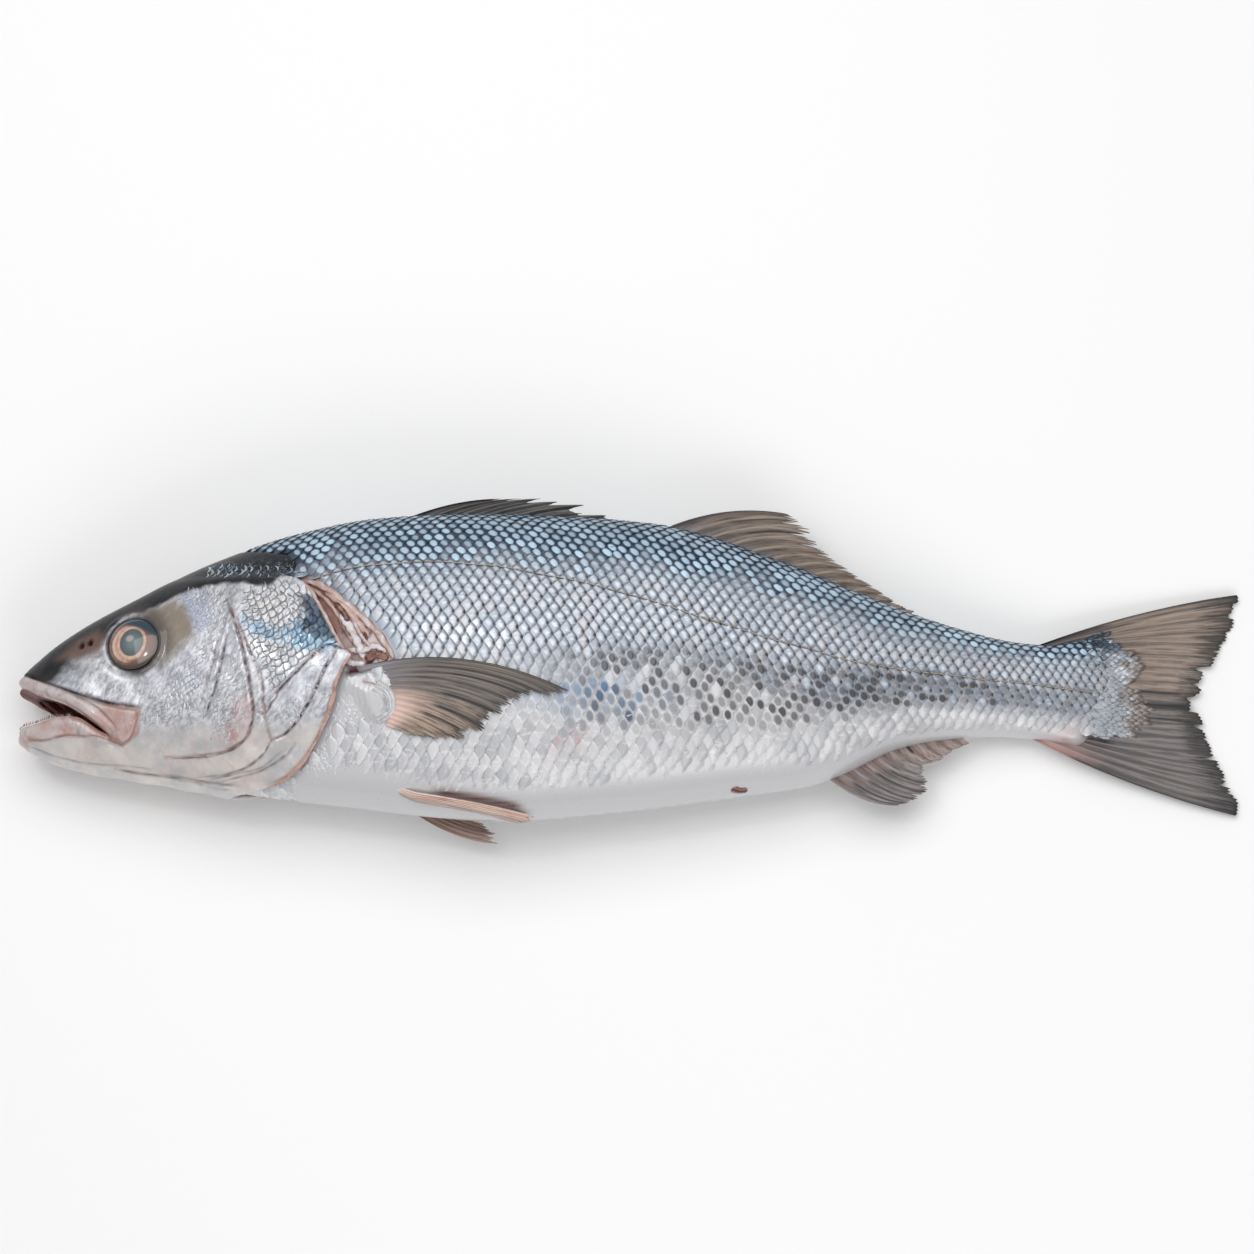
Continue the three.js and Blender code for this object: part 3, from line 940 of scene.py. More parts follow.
# %% The head's relief
GAPE = rounded([
    (-240, -6), (-226, -7.6), (-219, -11.2), (-208, -15.4), (-198, -21.8), (-191.5, -27),
    (-196.5, -24.4), (-199.7, -22.2), (-203, -20.3), (-207, -19.6), (-211.5, -19.7), (-216, -20.9),
    (-219.2, -21.9), (-222.3, -22.4), (-225.4, -23.2), (-228, -26), (-240, -28)], 4)


def dent(line, x, y, width):
    """A groove along a line that thins out toward both ends and wanders in depth."""
    gap, side = line_distance(line, x, y)
    ends = np.minimum(np.hypot(x - line[0][0], y - line[0][1]),
                      np.hypot(x - line[-1][0], y - line[-1][1]))
    worn = (0.35 + 0.65 * soft(ends, 0, 5)) * (0.80 + 0.20 * np.sin(x * 0.9 + y * 1.3))
    slim = width * (0.60 + 0.40 * soft(ends, 0, 7))
    return worn * bell(gap, slim), gap, side


def head_relief(x, y):
    height = 1.3 * soft(x, -185, -145) * (1 - soft(y, 28.5, 33.0))
    start = -126.0 - 36 * soft(y, 38, 47)
    height = height - 0.75 * soft(x - start, -3, 3) * soft(y, 30.5, 33.5)
    for line, depth, width, rise, reach, high_side in HEAD_FOLDS:
        groove, gap, side = dent(line, x, y, width)
        height = height - depth * groove
        plate = (side == high_side) * np.exp(-gap / reach) * soft(gap, 0.0, width * 1.2)
        height = height + rise * plate
    outside = -inside_distance(GAPE, x, y)
    lips = bell(outside - 2.6, 1.9) - 1.5 * bell(outside, 0.9)
    height = height + lips * (1 - soft(x, -194, -187)) * 0.9
    plate = inside_distance(UPPER_JAW_PLATE, x, y)
    height = height + 1.15 * soft(plate, -0.25, 0.75) * soft(x, -210, -198)
    height = height - 0.45 * bell(plate + 0.6, 0.5) * soft(x, -205, -195)
    eye = np.hypot(x - EYE_AT[0], (y - EYE_AT[1]) / 1.03)
    height = height + 0.55 * bell(eye - 11.0, 1.1)
    height = height - 2.6 * (1 - soft(eye, 8.8, 10.0))
    for at in NOSTRILS:
        pit = np.hypot(x - at[0], (y - at[1]) / 1.25)
        height = height + 0.25 * bell(pit - 1.4, 0.5) - 1.7 * bell(pit, 0.85)
    bone = 0.22 * np.sin(x * 0.42 + 2.0 * np.sin(y * 0.16)) * np.sin(y * 0.33 + x * 0.07)
    return height + bone * soft(x, -215, -190) * soft(-y, -20, 10)


HEAD_FOLDS = [
    (LIP_GROOVE, 1.25, 0.50, 0.45, 3.0, 1),
    (LIP_CREASE, 0.35, 0.35, 0.0, 1.0, 1),
    (JAW_FOLD, 0.45, 0.28, 0.22, 1.4, 1),
    (CHEEK_SLIT, 0.85, 0.42, 0.45, 3.0, -1),
    (CHEEK_LINE, 0.25, 0.50, 0.15, 2.0, -1),
    (CHEEK_EDGE, 0.65, 0.40, 0.70, 4.5, -1),
    (COVER_CREASE, 0.45, 0.40, 0.25, 2.0, -1),
    (COVER_SEAM, 0.75, 0.38, 0.65, 4.0, 1),
    (LOWER_SEAM, 0.90, 0.42, 0.65, 4.0, 1),
    (SHORT_SEAM, 0.45, 0.35, 0.30, 2.0, -1),
    (THROAT_FOLDS[0], 0.55, 0.38, 0.45, 3.0, 1),
    (THROAT_FOLDS[1], 0.40, 0.38, 0.30, 2.0, 1),
    (THROAT_FOLDS[2], 0.30, 0.38, 0.20, 2.0, 1),
    (KEEL_FOLD, 0.50, 0.36, 0.30, 2.5, 1),
    (JAW_UNDER, 0.30, 0.50, 0.15, 2.5, 1),
    (SNOUT_PORES, 0.25, 0.30, 0.0, 1.0, 1),
]
print("head folds", len(HEAD_FOLDS))

# %% Build the head's shell


def rear_of_cover(angles):
    """Where the gill cover ends, for each angle around the body."""
    xs = np.linspace(-172, -98, 371)
    x, angle = np.meshgrid(xs, angles, indexing="ij")
    y = skin_raw(x, angle)[..., 1]
    before = x < cover_edge_x(y)
    last = before.shape[0] - 1 - np.argmax(before[::-1], axis=0)
    rear = xs[last]
    for _ in range(2):
        rear = (np.roll(rear, 1) + 2 * rear + np.roll(rear, -1)) / 4
    return rear


def head_angles():
    """Points round the head, close together on the side that faces up."""
    turn = np.linspace(-np.pi, np.pi, 330, endpoint=False)
    return turn - 0.40 * np.sin(turn)


def build_head_shell():
    angles = head_angles()
    rear = rear_of_cover(angles)
    step = 0.05 + 0.95 * soft(np.arange(240), 0, 34)
    share = np.concatenate([[0], np.cumsum(step)]) / step.sum()
    x = -228 + (rear[None, :] + 228) * share[:, None]
    angle = np.broadcast_to(angles, x.shape)
    raw, normal = skin_raw(x, angle), skin_normal(x, angle)
    shell = raw + normal * head_relief(x, raw[..., 1])[..., None]
    rim, inward = shell[-1], normal[-1]
    forward = np.array([-1.0, 0, 0])
    rolls = [rim - inward * 0.45 - forward * 0.30, rim - inward * 0.95 - forward * 0.15,
             rim - inward * 1.35 + forward * 0.8, rim - inward * 2.6 + forward * 7,
             rim - inward * 6.5 + forward * 16]
    points = np.concatenate([shell, np.stack(rolls)])
    points[..., 2] = settle(points[..., 2], 0.4, 0.4)
    rows, count = points.shape[:2]
    flat = points.reshape(-1, 3)
    ends = np.stack([flat[:count].mean(0), [-158, -6, 23]])
    return np.concatenate([flat, ends]), tube_faces(rows, count)


head_points, head_faces = build_head_shell()
print("head shell", len(head_points), "points")

# %% [markdown]
# ## Head skin
#
# The head's colours are zones: slate on top of the skull, olive and lilac sheen behind the eye,
# rosy jaws, a pearly throat, and a splash of blue on the gill cover. Each is an outline in the
# side view with a soft edge. Painted shade darkens the folds, the eye's socket and the nostrils,
# and a painted highlight lies under the eye. Fine grain and a wet coat tie them together.

# %% The head's painted zones
SKULL = [
    (-232, 10), (-227, -6), (-222, -4.2), (-214, -5.2), (-206, 1.5), (-196, 5), (-192, 12),
    (-187, 17.5), (-180, 18.5), (-173.4, 21.5), (-164, 25.8), (-153, 27.8), (-143, 27.8),
    (-133, 26), (-128, 30), (-110, 34), (-105, 70), (-232, 70)]
OLIVE = [(-180, 20), (-168, 22.5), (-160, 18), (-160, 9), (-166, 3.0), (-172, -2.5), (-178, 0)]
LILAC = [(-166, 25), (-156, 26), (-153.5, 12), (-158, 9), (-161.5, 14)]
BROW = [(-212, 2), (-205, 8.5), (-197, 12.5), (-193, 8), (-196, 2.5), (-203, 1)]
COVER_BLUE = [
    (-142.5, 14), (-134, 11.5), (-126, 9.5), (-121, 14), (-115, 20.5), (-109, 12), (-103, 3),
    (-110, 1.8), (-122, 1.8), (-131, 6), (-140, 9.5)]
COVER_INK = [
    (-121.5, 22.5), (-115.5, 22), (-109.5, 12.5), (-104, 3.5), (-109, 4.8), (-116, 6.6),
    (-121, 10.5), (-118.5, 14.5), (-121.5, 18)]
ROSE = [(-145, -16), (-140, -14), (-137.8, -20), (-140, -28), (-147, -33.5), (-149, -27)]
LIP_BAND = [
    (-229, -2), (-223, -4), (-215, -7.4), (-207.5, -10.4), (-198.4, -13.7), (-191.3, -15.7),
    (-180, -17.5), (-180.5, -27), (-188, -32), (-197, -28), (-206.8, -27), (-216, -28),
    (-222, -28.5), (-223, -32), (-231, -28)]


def zone(points, x, y, edge):
    return soft(inside_distance(points, x, y), -edge, edge)


def head_paint(x, y, z):
    wobble = 1.1 * np.sin(x * 0.9 + 1.7 * np.sin(y * 0.7)) + 0.6 * np.sin(y * 1.9 + x * 0.5)
    # Painted shade: each fold's groove is darkened by its weight, listed below.
    fold = np.zeros(np.shape(x))
    for (line, _, width, *_), weight in zip(HEAD_FOLDS, FOLD_SHADE):
        groove, _, _ = dent(line, x, y, width * 0.95)
        fold = np.maximum(fold, weight * groove)
    fold = fold * (1 - 0.65 * bump(x, y, (-162, -35.2), (14, 1.8)))
    warm = np.zeros(np.shape(x))
    for (line, _, width, *_), weight in zip(HEAD_FOLDS, FOLD_WARM):
        _, gap, side = dent(line, x, y, width)
        patchy = 0.55 + 0.45 * np.sin(x * 0.37 + y * 0.61 + side)
        warm = np.maximum(warm, weight * patchy * bell(gap - 0.35, 0.42))
    gap, _ = line_distance(INNER_LIP, x, y)
    warm = np.maximum(warm, bell(gap, 0.75))
    rear_gap = np.abs(x - cover_edge_x(y))
    warm = np.maximum(warm, 0.9 * np.exp(-(rear_gap**2)) * (y < 26) * soft(y, -46, -43.5))
    plate = inside_distance(UPPER_JAW_PLATE, x, y)
    warm = np.maximum(warm, 0.9 * bell(plate, 0.4) * soft(x, -205, -190))
    # Painted shade round the eye: a socket ring, wider below, and a dark patch to its right.
    eye = np.hypot(x - EYE_AT[0], (y - EYE_AT[1]) / 1.03)
    turn = np.arctan2(y - EYE_AT[1], x - EYE_AT[0])
    below = bell(turn + 1.25, 0.55)
    socket = 1 - soft(eye, 9.2 + 1.3 * below, 11.2 + 2.2 * below)
    glint = bell(eye - 13.2, 0.75) * bell(turn + 1.95, 0.42)
    # Painted shade in the nostril pits.
    pits = sum(np.exp(-((np.hypot(x - at[0], (y - at[1]) / 1.25) / 1.1) ** 4)) for at in NOSTRILS)
    return {
        "skull": np.clip(zone(SKULL, x, y + wobble * 0.25, 0.9 + 2.6 * (1 - soft(x, -208, -190)))
                         + 0.65 * bump(x, y, (-227.5, -5), (2.2, 3.5))
                         + 0.75 * bump(x, y, (-217, -5.5), (6.5, 3.6))
                         + 0.40 * bump(x, y, (-206, -2.5), (8, 4))
                         + 0.55 * bump(x + wobble * 0.5, y, (-147, 19.5), (2.4, 6.5))
                         + 0.5 * bump(x, y, (-226.5, -24), (2.4, 1.6)), 0, 1),
        "olive": zone(OLIVE, x + wobble * 0.4, y + wobble * 0.4, 3.4),
        "orbit_shade": (1 - soft(eye, 9.8, 17)) * soft(np.cos(turn - 0.1), -0.35, 0.3),
        "lilac": zone(LILAC, x + wobble * 0.5, y, 1.8),
        "brow": zone(BROW, x, y, 2.5),
        "blue": zone(COVER_BLUE, x, y + wobble * 0.6, 2.0),
        "ink": zone(COVER_INK, x + wobble * 0.4, y, 1.3),
        "rose": zone(ROSE, x + wobble, y, 2.0),
        "jaw": zone(LIP_BAND, x, y, 0.8),
        "throat": soft(-y, 21, 29) * (1 - zone(LIP_BAND, x, y, 0.8)),
        "fold": np.clip(fold, 0, 1), "warm": np.clip(warm, 0, 1),
        "socket": socket, "glint": glint, "pit": np.clip(pits, 0, 1),
        # Painted shade inside the mouth, darker the deeper a point lies.
        "inner_shade": soft(half_thickness(x) - np.abs(z - mid_height(x)), 1.5, 9.0),
    }


INNER_LIP = [(-206, -19.9), (-201, -21.9), (-197, -24.4), (-191, -27.8), (-187, -30)]
# How dark the painted shade in each groove is, in the order of HEAD_FOLDS.
FOLD_SHADE = [
    1.0, 0.8, 0.35, 1.0, 0.40, 0.85, 0.75, 0.90, 1.0, 0.55, 0.80, 0.65, 0.50, 0.65, 0.35, 0.5]
FOLD_WARM = [0.10, 0.3, 0.9, 0.20, 0.45, 0.9, 0.8, 0.65, 0.60, 0.9, 0.3, 0.2, 0.1, 0.5, 0, 0]
print("folds with a colour", len(FOLD_SHADE))

# %% The head's finish


def make_head_skin():
    skin = Finish("wet_head_skin")
    paint = skin.paint
    patches = skin.noise(70, 4, 0.6)
    grain = skin.noise(520, 4, 0.65)
    fine = skin.noise(1500, 2, 0.5)
    streaks = skin.noise(160, 4, 0.7, stretch=(1.0, 0.35, 1.0), warp=1.2)
    flakes = skin.noise(620, 4, 0.7, stretch=(1.0, 0.42, 1.0), warp=0.4, turn=0.62)

    silver = flakes.between(0.34, 0.66).tint((0.30, 0.31, 0.345), (0.74, 0.74, 0.77))
    silver = (patches.between(0.46, 0.68) * 0.45).tint(silver, (0.38, 0.40, 0.46))
    silver = (streaks.between(0.58, 0.74) * 0.35).tint(silver, (0.46, 0.34, 0.32))
    pearl = patches.between(0.35, 0.65).tint((0.47, 0.47, 0.485), (0.68, 0.635, 0.61))
    pearl = (streaks.between(0.50, 0.70) * 0.50).tint(pearl, (0.60, 0.45, 0.41))
    colour = paint("throat").tint(silver, pearl)
    olive = (patches.between(0.35, 0.65) * 0.5).tint((0.25, 0.205, 0.155), (0.17, 0.135, 0.11))
    # Painted shade darkens the olive to the right of the eye.
    olive = paint("orbit_shade").tint(olive, (0.062, 0.045, 0.036))
    colour = (paint("olive") * 0.94).tint(colour, olive)
    sheen = fine.between(0.4, 0.65).tint((0.30, 0.33, 0.46), (0.56, 0.61, 0.72))
    colour = (paint("lilac") * 0.85).tint(colour, sheen)
    skull = patches.between(0.3, 0.7).tint((0.004, 0.005, 0.007), (0.018, 0.018, 0.020))
    glitter = (fine + grain * 0.6).between(0.86, 1.0)
    skull = (glitter * paint("nape") * 0.6).tint(skull, (0.30, 0.45, 0.56))
    colour = (paint("skull") * 0.97).tint(colour, skull)
    colour = (paint("brow") * 0.80).tint(colour, (0.175, 0.115, 0.095))
    blue = streaks.between(0.35, 0.65).tint((0.03, 0.11, 0.22), (0.24, 0.44, 0.60))
    colour = (paint("blue") * 0.85).tint(colour, blue)
    colour = (paint("ink") * 0.95).tint(colour, (0.008, 0.025, 0.060))
    jaw = patches.between(0.38, 0.62).tint((0.45, 0.28, 0.25), (0.53, 0.47, 0.46))
    jaw = (streaks.between(0.47, 0.66) * 0.70).tint(jaw, (0.25, 0.195, 0.185))
    jaw = (flakes.between(0.55, 0.75) * 0.4).tint(jaw, (0.72, 0.62, 0.60))
    colour = (paint("jaw") * 0.95).tint(colour, jaw)
    rose = streaks.between(0.40, 0.66).tint((0.66, 0.52, 0.51), (0.40, 0.12, 0.11))
    colour = (paint("rose") * (0.15 + patches)).cap_at(0.9).tint(colour, rose)
    colour = (paint("warm") * 0.75).tint(colour, (0.27, 0.10, 0.06))
    # Painted shade in the grooves of the folds.
    colour = (paint("fold") * 0.95).tint(colour, (0.012, 0.008, 0.010))
    # Painted shade round the eye, and darker still in its socket.
    colour = (paint("orbit_shade") * 0.60).tint(colour, (0.115, 0.092, 0.080))
    colour = (paint("socket") * 0.92).tint(colour, (0.034, 0.029, 0.028))
    colour = paint("glint").tint(colour, (0.85, 0.85, 0.86))
    # Painted shade in the nostrils.
    colour = paint("pit").tint(colour, (0.020, 0.003, 0.003))
    speck = fine.between(0.70, 0.78) * 0.45 * (1 - paint("skull"))
    colour = speck.tint(colour, (0.84, 0.86, 0.90))
    height = flakes * 0.8 + grain * 0.5 + fine * 0.25 + patches
    metal = (1 - paint("jaw")) * (1 - paint("skull")) * (1 - paint("olive")) * 0.25
    return skin.shade(
        Base_Color=colour, Metallic=metal, Roughness=0.22 + grain * 0.20,
        Coat_Weight=0.8 - paint("skull") * 0.75, Coat_Roughness=0.07, IOR=1.22,
        Normal=skin.relief(height, 0.00022, 0.5))


def make_mouth_lining():
    lining = Finish("mouth_lining")
    folds = lining.noise(190, 4, 0.6, warp=0.8)
    deep = lining.paint("inner_shade")
    colour = folds.between(0.35, 0.65).tint((0.24, 0.045, 0.035), (0.42, 0.16, 0.14))
    # Painted shade: the lining darkens the deeper it lies in the mouth.
    colour = deep.tint(colour, (0.045, 0.008, 0.007))
    return lining.shade(
        Base_Color=colour, Roughness=0.35 + folds * 0.2, IOR=1.25,
        Normal=lining.relief(folds, 0.0004, 0.6))


head_skin = make_head_skin()
mouth_lining = make_mouth_lining()
print("finishes", head_skin.name, mouth_lining.name)

# %% [markdown]
# ## Cutting the mouth open
#
# The gape is a wedge seen from the side, with a rounded hollow behind it. A boolean cut gives
# both jaws their true edges, and the cutter's own faces become the lining. The painted values are
# worked out after the cut, so that the new points have them too.

# %% Cut and finish the head


def wedge_mesh(outline, levels):
    """A wedge across the head; its upper side hangs by the given drop at each height."""
    pts = np.array(outline)
    count = len(pts)
    upper = (np.arange(count) < 0.28 * count) * soft(-pts[:, 0], 199, 213)
    rings = [np.c_[pts[:, 0], pts[:, 1] - drop * upper, np.full(count, height)]
             for height, drop in levels]
    faces = grid_faces(len(levels), count, closed=True).tolist()
    top = (len(levels) - 1) * count
    faces += [tuple(range(count))[::-1], tuple(range(top, top + count))]
    return fix_winding(np.concatenate(rings), faces)


def fix_winding(points, faces):
    """Turn every face over if the closed shape is inside out."""
    volume = 0
    for face in faces:
        for j in range(1, len(face) - 1):
            volume += np.dot(points[face[0]], np.cross(points[face[j]], points[face[j + 1]]))
    return points, ([face[::-1] for face in faces] if volume < 0 else faces)


def ball_mesh(at, size, rows=40, columns=56):
    lat = np.linspace(-np.pi / 2, np.pi / 2, rows)[1:-1]
    lon = np.linspace(0, 2 * np.pi, columns, endpoint=False)
    v, u = np.meshgrid(lat, lon, indexing="ij")
    unit = np.stack([np.cos(v) * np.cos(u), np.cos(v) * np.sin(u), np.sin(v)], -1).reshape(-1, 3)
    ripple = 1 + 0.03 * np.sin(unit[:, :1] * 9) * np.sin(unit[:, 1:2] * 11)
    points = np.concatenate([unit * ripple, [[0, 0, -1], [0, 0, 1]]]) * size + at
    return points, tube_faces(rows - 2, columns)


def cut_away(body, cutter):
    """Cut one mesh out of another, keep the result, and drop the cutter."""
    change = body.modifiers.new("cut", "BOOLEAN")
    change.operation = "DIFFERENCE"
    change.solver = "EXACT"
    change.material_mode = "TRANSFER"
    change.object = cutter
    graph = bpy.context.evaluated_depsgraph_get()
    result = bpy.data.meshes.new_from_object(body.evaluated_get(graph))
    body.modifiers.clear()
    body.data = result
    bpy.data.objects.remove(cutter)


GAPE_LEVELS = [(-8, 2.4), (12, 2.4), (19, 1.5), (28, 0), (60, 0)]


def build_head():
    head = mesh_object("head", head_points, head_faces, head_skin)
    fix_outward(head)
    gape = wedge_mesh(GAPE, GAPE_LEVELS)
    hollow = ball_mesh(np.array([-210, -19.5, 21]), np.array([16, 9, 10.5]))
    for name, shape in (("gape_cutter", gape), ("hollow_cutter", hollow)):
        cutter = mesh_object(name, *shape, mouth_lining)
        fix_outward(cutter)
        cut_away(head, cutter)
    mesh = head.data
    where = np.empty(len(mesh.vertices) * 3)
    mesh.vertices.foreach_get("co", where)
    where = where.reshape(-1, 3) / METRES
    paint = head_paint(*where.T)
    paint["nape"] = bump(where[:, 0], where[:, 1], (-150, 35), (10, 4)) + bump(
        where[:, 0], where[:, 1], (-128, 33), (12, 3.5))
    hand_over(head, paint)
    mesh.set_sharp_from_angle(angle=math.radians(50))


build_head()

# %% [markdown]
# ## How a fin is made
#
# A fin is a thin web of skin held open by rays. Near the body each ray is one rod. Further out it
# splits in two and then in four, so a fin ends in a fine fringe. One blade function builds them
# all: it runs from a root line to an edge line, adds a ridge along every branch of every ray, and
# lets the web tear back between the tips.

# %% One blade for every fin


def ray_ridge(c, v, rays, splits):
    """How strongly a point lies on a ray, and how far it is from the ray's middle."""
    place = c * (rays - 1)
    middle = np.clip(np.round(place), 0, rays - 1)
    off = place - middle
    first = 0.25 * soft(v, splits[0], splits[0] + 0.35)
    second = 0.125 * soft(v, splits[1], splits[1] + 0.3)
    branch = np.abs(np.abs(off) - first)
    branch = np.abs(branch - second)
    width = 0.23 - 0.10 * soft(v, splits[0], splits[0] + 0.3) - 0.05 * soft(v, splits[1], 1.0)
    return bell(branch, width), off, middle.astype(int)


def build_fin(name, root, edge, rays, sheet, finish, bow=(0, 0), thick=0.75,
              web=0.16, fray=0.06, uneven=0.02, tears=(), splits=(0.30, 0.62), fine=12, rows=46,
              pleats=0.0, streaks=(), tip=0.35, seed=1):
    """A closed thin blade: root and edge are side-view lines, sheet puts them in space."""
    draw = np.random.default_rng(seed)
    share = np.linspace(0, 1, (rays - 1) * fine + 1)
    root_at, edge_at = curve_through(root)(share), curve_through(edge)(share)
    at_tip, off, which = ray_ridge(share, np.ones_like(share), rays, splits)
    longer = draw.normal(0, uneven, rays)[which]
    nibble = draw.uniform(0, 1, len(share))
    nibble = (np.roll(nibble, 1) + nibble) / 2
    calm = 0.3 + 0.7 * soft(np.minimum(share, 1 - share), 0.0, 0.12)
    worn = fray * calm
    end = 1 + longer * calm - worn * (1 - at_tip) - worn * 0.9 * (2 * np.abs(off)) ** 2.5
    end = end - fray * 0.5 * nibble
    for at, depth, width in tears:
        end = end - depth * np.exp(-((np.abs(share - at) / width) ** 1.3))
    v = np.linspace(0, 1, rows)[:, None] ** 0.9 * end[None, :]
    c = np.broadcast_to(share, v.shape)
    flat = root_at + (edge_at - root_at) * v[..., None]
    flat[..., 1] += (bow[0] + (bow[1] - bow[0]) * c) * 4 * v * (1 - np.clip(v, 0, 1))
    ridge, off, _ = ray_ridge(c, v, rays, splits)
    middle, normal = sheet(flat[..., 0], flat[..., 1], c, v)
    wave = pleats * np.cos(2 * np.pi * c * (rays - 1)) * soft(v, 0.02, 0.25)
    middle = middle + normal * wave[..., None]
    slim = (1 - (1 - tip) * soft(v, 0.0, 0.9))
    joints = 1 + 0.10 * np.sin(v * 150) * soft(v, 0.25, 0.5)
    depth = 0.5 * (web + thick * slim * ridge * joints)
    depth[-1] *= 0.4
    upper = middle + normal * depth[..., None]
    lower = middle - normal * depth[..., None]
    upper[..., 2] = np.maximum(upper[..., 2], 0.22)
    lower[..., 2] = np.maximum(lower[..., 2], 0.06)
    count = len(share)
    size = rows * count
    over = grid_faces(rows, count)
    under = grid_faces(rows, count, start=size)[:, ::-1]
    loop = np.concatenate([np.arange(count), np.arange(1, rows) * count + count - 1,
                           (rows - 1) * count + np.arange(count - 2, -1, -1),
                           np.arange(rows - 2, 0, -1) * count])
    after = np.roll(loop, -1)
    sides = np.stack([after, loop, loop + size, after + size], -1)
    shade = np.zeros(v.shape)
    for at, width, low, high in streaks:
        shade = np.maximum(shade, bell(c - at, width) * soft(v, low, low + 0.1)
                           * (1 - soft(v, high, high + 0.12)))
    paint = {"ray": ridge, "reach": v, "share": c, "shade": shade, "off": np.abs(off) * 2}
    both = {key: np.concatenate([value.ravel(), value.ravel()]) for key, value in paint.items()}
    points = np.concatenate([upper.reshape(-1, 3), lower.reshape(-1, 3)])
    make_piece(name, points, np.concatenate([over, under, sides]).tolist(), finish, both)


def middle_sheet(lean=0.0, ripple=0.0):
    """The fish's own middle plane, leaning a little toward the fin's edge."""
    def sheet(x, y, c, v):
        z = mid_height(x) + lean * v
        z = z + ripple * np.sin(c * 11 + v * 3.0) * v + 0.5 * ripple * np.sin(c * 23 - v * 5) * v
        return np.stack([x, y, z], -1), facing_up(x)
    return sheet


def flank_sheet(low, high, side=1, top=1.0):
    """Lying on the flank, a little off the scales."""
    def sheet(x, y, c, v):
        angle = angle_at(x, y)
        point, normal = skin_raw(x, angle), skin_normal(x, angle)
        if side < 0:
            point[..., 2] = settle(2 * mid_height(x) - point[..., 2], 0.3, 0.2)
            return point, facing_up(x)
        rooted = (1 - soft(v, 0.0, 0.24)) * (top + (1 - top) * soft(c, 0.0, 0.2))
        lift = low + (high - low) * v + 0.25 * np.sin(c * 9 + v * 4) * v - 2.9 * rooted
        return point + normal * lift[..., None], normal
    return sheet


print("fin blade ready")

# %% [markdown]
# ## Fin skin
#
# A fin's web is thin and dull: tan or grey, streaked along the rays, and nearly black at the worn
# edge. The rays are paler rods with dark pigment beside them. The noise is read along the ray and
# across it, so its streaks fan out as the rays do.

# %% Fin finishes


def make_fin_finish(name, root, web, edge, ray, rays, low=None, blush=None, margin=0.80,
                    streak=0.55, flush=(0.25, 0.62, 0.40, 0.68), smooth_root=0.0):
    fin = Finish(name)
    on_ray, reach, share, off = fin.paints("ray", "reach", "share", "off")
    fan = fin.threads(share * rays * 1.7, reach * 2.4, 1.6, 5.0, 0.62)
    hair = fin.threads(share * rays * 9.0, reach * 3.0, 1.3, 3.0, 0.6)
    blotch = fin.noise(55, 4, 0.6)
    loud = 1 - (1 - reach.between(0.08, 0.45)) * smooth_root
    colour = reach.between(0.0, 0.42).tint(root, web)
    if low is not None:
        colour = (share + (blotch - 0.5) * 0.3).between(0.42, 0.62).tint(colour, low)
    colour = (fan.between(0.40, 0.68) * loud * streak).tint(colour, edge)
    colour = (on_ray * loud * 0.5 * (1 - reach.between(0.6, 1.0) * 0.6)).tint(colour, ray)
    colour = (hair.between(0.50, 0.66) * loud * 0.75).tint(colour, edge)
    colour = ((hair.between(0.30, 0.42) * -0.35 + 0.35) * loud).tint(colour, ray)
    colour = (off.between(0.72, 0.98) * loud * 0.55).tint(colour, edge)
    dark = (reach + (fan - 0.5) * 0.45 + (hair - 0.5) * 0.2).between(margin - 0.10, margin + 0.14)
    colour = (dark * 0.92).tint(colour, (0.022, 0.019, 0.017))
    if blush is not None:
        near = 1 - (reach + (blotch - 0.5) * 0.3).between(flush[0], flush[1])
        near = near * (share + (blotch - 0.5) * 0.1).between(flush[2], flush[3])
        colour = (near * 0.92).tint(colour, blush)
    colour = fin.paint("shade").tint(colour, (0.018, 0.016, 0.018))
    height = hair * 0.7 + on_ray * 0.6
    return fin.shade(
        Base_Color=colour, Roughness=0.34 + blotch * 0.22, Coat_Weight=0.30,
        Coat_Roughness=0.22, IOR=1.42, Normal=fin.relief(height, 0.00018, 0.7))


tail_finish = make_fin_finish(
    "tail_web", (0.15, 0.128, 0.118), (0.265, 0.197, 0.155), (0.062, 0.050, 0.044),
    (0.38, 0.30, 0.25), 17, low=(0.100, 0.107, 0.126), blush=(0.44, 0.26, 0.235), margin=0.84,
    streak=0.65, flush=(0.08, 0.36, 0.80, 0.97))
soft_finish = make_fin_finish(
    "soft_back_web", (0.13, 0.13, 0.15), (0.22, 0.165, 0.13), (0.050, 0.040, 0.035),
    (0.42, 0.33, 0.26), 13, margin=1.0, streak=0.7)
spiny_finish = make_fin_finish(
    "spiny_back_web", (0.10, 0.105, 0.115), (0.12, 0.112, 0.105), (0.030, 0.028, 0.028),
    (0.20, 0.19, 0.18), 9, margin=0.96, streak=0.8)
pectoral_finish = make_fin_finish(
    "breast_web", (0.28, 0.265, 0.295), (0.125, 0.113, 0.110), (0.036, 0.031, 0.030),
    (0.30, 0.23, 0.16), 15, low=(0.43, 0.32, 0.26), blush=(0.68, 0.48, 0.42), margin=0.95,
    streak=0.85, smooth_root=0.75)
anal_finish = make_fin_finish(
    "belly_rear_web", (0.34, 0.20, 0.165), (0.20, 0.165, 0.155), (0.055, 0.050, 0.052),
    (0.38, 0.36, 0.37), 11, low=(0.36, 0.245, 0.20), margin=1.06, streak=0.55)
